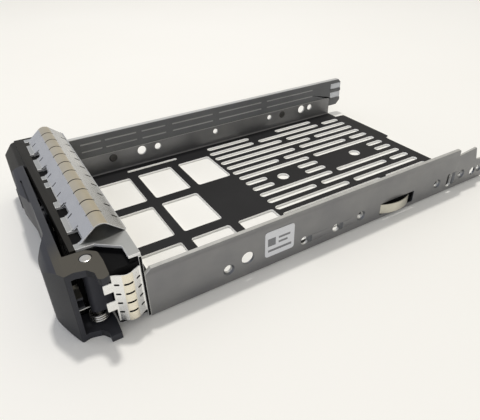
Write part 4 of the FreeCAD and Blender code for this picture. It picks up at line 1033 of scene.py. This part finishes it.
# %% Softened CAD
def softened(name, cad_node, materials, body, width_mm, segments=2, paint=None, lit_edges=True, shift=None):
    """Copy of a CAD node with its triangles merged, its corners shifted and its edges rounded."""
    mesh = nodes[cad_node].data.copy()
    mesh.materials.clear()
    work = bmesh.new()
    work.from_mesh(mesh)
    bmesh.ops.remove_doubles(work, verts=work.verts, dist=2e-6)
    bmesh.ops.dissolve_limit(work, angle_limit=math.radians(1.0), verts=work.verts, edges=work.edges)
    for face in work.faces:
        face.material_index = paint(face) if paint else 0
    if shift:
        spots = np.array([v.co for v in work.verts]) / MM
        for corner, spot in zip(work.verts, shift(spots) * MM):
            corner.co = spot
    work.to_mesh(mesh)
    work.free()
    mesh.name = name
    piece = add_piece(name, mesh, materials, body, [cad_node], 30.0)
    bevel = piece.modifiers.new("edges", "BEVEL")
    bevel.width = width_mm * MM
    bevel.segments = segments
    bevel.limit_method = "ANGLE"
    bevel.angle_limit = math.radians(35)
    bevel.harden_normals = True
    # With lit_edges the bevel's faces take the second material, a painted edge highlight.
    bevel.material = 1 if lit_edges and len(materials) > 1 else -1


# %% [markdown]
# A face's finish follows from the place of its middle and from its direction. Two functions shift corners
# that the photograph shows elsewhere. Each place is a box, given by its lowest and its highest corner.

# %% Places of the finishes
ANY = math.inf
STRIP_CORNER = ((38.0, -ANY, 23.5), (ANY, -102.5, ANY))
WINDOW_REAR = ((-ANY, -98.0, 25.5), (ANY, -96.6, ANY))
UNDER_SHIELD = ((-ANY, -99.5, 24.5), (ANY, ANY, 26.5))
NEAR_BLOCK = ((37.5, -106.0, -ANY), (ANY, -83.5, 26.5))
KNUCKLE = ((PIN_X - 3.0, -ANY, -ANY), (PIN_X + 3.0, -95.3, ANY))
LEVER_CREST = ((-ANY, -ANY, 15.0), (ANY, ANY, ANY))
CARRIER_CREST = ((-ANY, -ANY, 21.5), (ANY, ANY, ANY))
CARRIER_GROOVES = ((-51.5, -ANY, -ANY), (-51.1, ANY, ANY))
LIT_LEAF = ((HALF_INNER + 0.1, -ANY, -ANY), (ANY, 37.3, ANY))
GAP_TAPER = 2.2
SHEET_EDGE_HEIGHT, PLATE_END_HEIGHT, GROOVE_HEIGHT = 1.3, 5.0, 0.8


def within(spots, box):
    """True where a spot in millimetres lies inside a box."""
    return np.all((spots > box[0]) & (spots < box[1]), axis=-1)


def lies_in(face, box):
    """True if a face's middle lies inside a box."""
    return within(np.array(face.calc_center_median()) / MM, box)


def tall(face):
    """Height of a face in millimetres."""
    heights = [v.co.z / MM for v in face.verts]
    return max(heights) - min(heights)


def widen_gap(spots):
    """Moves the front strip's near corners back, so that the gap to the lever widens towards the hinge."""
    return spots + np.outer(within(spots, STRIP_CORNER), (0, GAP_TAPER, 0))


def deepen_windows(spots):
    """Moves the rear corners of the shield's open windows back to the notches of the top spring."""
    x = spots[:, 0]
    open_here = np.any([(x > start - 0.1) & (x < end + 0.1) for start, end in CLIP_SPANS], axis=0)
    moved = spots.copy()
    moved[within(spots, WINDOW_REAR) & open_here, 1] = behind(CLIP_DEPTH)
    return moved


def sheet_edge(face):
    """1, a painted highlight, on an upright face no taller than the sheet is thick, 2, a painted shade, on
    the near end of the back plate, else 0.
    """
    if face.normal.x > 0.9 and tall(face) > PLATE_END_HEIGHT:
        return 2
    return int(abs(face.normal.z) < 0.3 and tall(face) < SHEET_EDGE_HEIGHT)


def bezel_deep(face):
    """2, a painted shade, on the top under the shield and on the near block, where no light comes, 3 on the
    knuckle, else 0.
    """
    if face.normal.z > 0.9 and lies_in(face, UNDER_SHIELD):
        return 2
    return 3 if lies_in(face, KNUCKLE) else 2 if lies_in(face, NEAR_BLOCK) else 0


def lever_finish(face):
    """2, a painted warm sheen, on the lever's upper side, 3, a painted shade, on its front faces that lean
    down or to the hinge's side, else 0.
    """
    if face.normal.z > 0.92 and lies_in(face, LEVER_CREST):
        return 2
    return 3 if face.normal.y < -0.4 and (face.normal.z < -0.15 or face.normal.x > 0.3) else 0


def leaf_finish(face):
    """1, a painted shade, on the leaf's ends in the shaded window, else 0."""
    return int(not lies_in(face, LIT_LEAF))


def carrier_finish(face):
    """1, a painted highlight, on the carrier's top face and its rounded edge, 2, painted highlight lines, in
    its grooves, else 0.
    """
    if face.normal.z > 0.6 and lies_in(face, CARRIER_CREST):
        return 1
    return 2 if lies_in(face, CARRIER_GROOVES) and tall(face) < GROOVE_HEIGHT else 0


# %% [markdown]
# Each part gets its plain finish, its painted edge highlight, and those that the functions above give.
# The small inner parts keep their CAD mesh and only get a material.

# %% Mouldings
softened("bezel_housing", "bezel_body", [BEZEL_PLASTIC, BEZEL_EDGE_HIGHLIGHT, SHADE_BLACK, KNUCKLE_PLASTIC],
         "caddy", 0.18, paint=bezel_deep, shift=widen_gap)
softened("shield_sheet", "bezel_shield", [SHIELD_STEEL, EDGE_HIGHLIGHT_STEEL, SHADE_BLACK],
         "caddy", 0.1, paint=sheet_edge, shift=deepen_windows)
softened("carrier_rail", "light_pipe_carrier", [CARRIER_PLASTIC, CARRIER_HIGHLIGHT_TOP, CARRIER_HIGHLIGHT_LINE],
         "caddy", 0.15, paint=carrier_finish, lit_edges=False)
softened("swing_lever", "lever_handle", [LEVER_PLASTIC, LEVER_EDGE_HIGHLIGHT, LEVER_SHEEN_TOP, LEVER_SHADE],
         "lever", 0.2, paint=lever_finish)
softened("press_button", "release_button", [BUTTON_PLASTIC, LEVER_EDGE_HIGHLIGHT], "button", 0.12)
softened("far_rivets", "carrier_rivets", [RIVETS_AND_DIMPLE_SHADE], "caddy", 0.25, 3)
softened("tongue_rivets", "floor_rivets", [RIVETS_AND_DIMPLE_SHADE], "caddy", 0.25, 3)
softened("leaf", "rail_leaf_spring", [LEAF_STEEL, SHADE_BLACK],
         "caddy", 0.08, paint=leaf_finish, lit_edges=False)
softened("back_plate", "lever_back_plate", [LEVER_PLASTIC, LEVER_EDGE_HIGHLIGHT], "lever", 0.2)
softened("plate_screws", "back_plate_screws", [PIN_STEEL], "lever", 0.2, 3)

PAINTS = {
    "latch_slider": BUTTON_PLASTIC, "latch_spring": PIN_STEEL, "light_pipe_upper": PIPE_PLASTIC,
    "light_pipe_lower": PIPE_PLASTIC, "status_lens_upper": LENS_PLASTIC, "status_lens_lower": LENS_PLASTIC,
}
for cad_node, material in PAINTS.items():
    finishes = nodes[cad_node].data.materials
    finishes.clear()
    finishes.append(material)
print("painted:", len(PAINTS))

# %% [markdown]
# ## Floor and light
#
# The caddy lies on pale paper in an even, bright room, which is cooler in front and warmer behind and
# above. A small, nearly white lamp almost overhead gives each wall a narrow shadow. For the camera the
# paper is lifted a little, as an exposed photograph's is.

# %% Stage
FLOOR_SIZE = 4.0
FLOOR_GAP = 0.0001
PAPER_LIFT = 0.06
LAMP_PLACE, LAMP_SIZE, LAMP_POWER, LAMP_COLOUR = (-0.27, 0.05, 1.3), 0.1, 7.6, "#fdfaf5"
ROOM_COLOURS = ((0.0, "#eef1fc"), (0.6, "#eaecf1"), (0.95, "#f0ebe0"))
ROOM_STRENGTH = 0.66


def make_floor():
    """Pale paper floor that fills the picture."""
    material, tree, place = new_material("pale_paper")
    colour = two_tone(tree, noise(tree, place, 400.0), "#f4f3ee", "#f7f6f2")
    rays = node(tree, "ShaderNodeLightPath").outputs
    seen = compute(tree, "ADD", rays["Is Camera Ray"], rays["Is Glossy Ray"])
    seen = compute(tree, "ADD", seen, rays["Is Transmission Ray"])
    with_surface(material, {
        "Base Color": colour, "Roughness": 0.8, "Emission Color": colour,
        "Emission Strength": compute(tree, "MULTIPLY", seen, PAPER_LIFT)})
    mesh = bpy.data.meshes.new("paper_floor")
    half = FLOOR_SIZE / 2
    level = cad_box[0][2] - FLOOR_GAP
    mesh.from_pydata([(-half, -half, level), (half, -half, level), (half, half, level), (-half, half, level)],
                     [], [(0, 1, 2, 3)])
    mesh.materials.append(material)
    link("paper_floor", mesh)


def make_lamp():
    """Square soft lamp aimed at the middle of the caddy."""
    data = bpy.data.lights.new("skylight", "AREA")
    data.size = LAMP_SIZE
    data.energy = LAMP_POWER
    data.color = linear(LAMP_COLOUR)[:3]
    lamp = link("skylight", data)
    lamp.location = LAMP_PLACE
    lamp.rotation_mode = "QUATERNION"
    lamp.rotation_quaternion = (-lamp.location).to_track_quat("-Z", "Y")


def make_world():
    """Room whose colour goes from cool in front to warm behind and above."""
    world = bpy.data.worlds.new("room")
    world.use_nodes = True
    tree = world.node_tree
    tree.nodes.clear()
    direction = node(tree, "ShaderNodeTexCoord").outputs["Generated"]
    parts = node(tree, "ShaderNodeSeparateXYZ", {"Vector": direction})
    raised = compute(tree, "MULTIPLY_ADD", parts.outputs["Z"], 0.5, parts.outputs["Y"])
    share = node(tree, "ShaderNodeMapRange", {"Value": raised, "From Min": -0.5, "From Max": 0.75})
    colour = ramp(tree, share.outputs[0], ROOM_COLOURS)
    room = node(tree, "ShaderNodeBackground", {"Color": colour, "Strength": ROOM_STRENGTH})
    node(tree, "ShaderNodeOutputWorld", {"Surface": room.outputs[0]})
    bpy.context.scene.world = world


make_floor()
make_lamp()
make_world()
bpy.context.scene.view_settings.view_transform = "Standard"
print("lamp power:", LAMP_POWER, "room strength:", ROOM_STRENGTH)
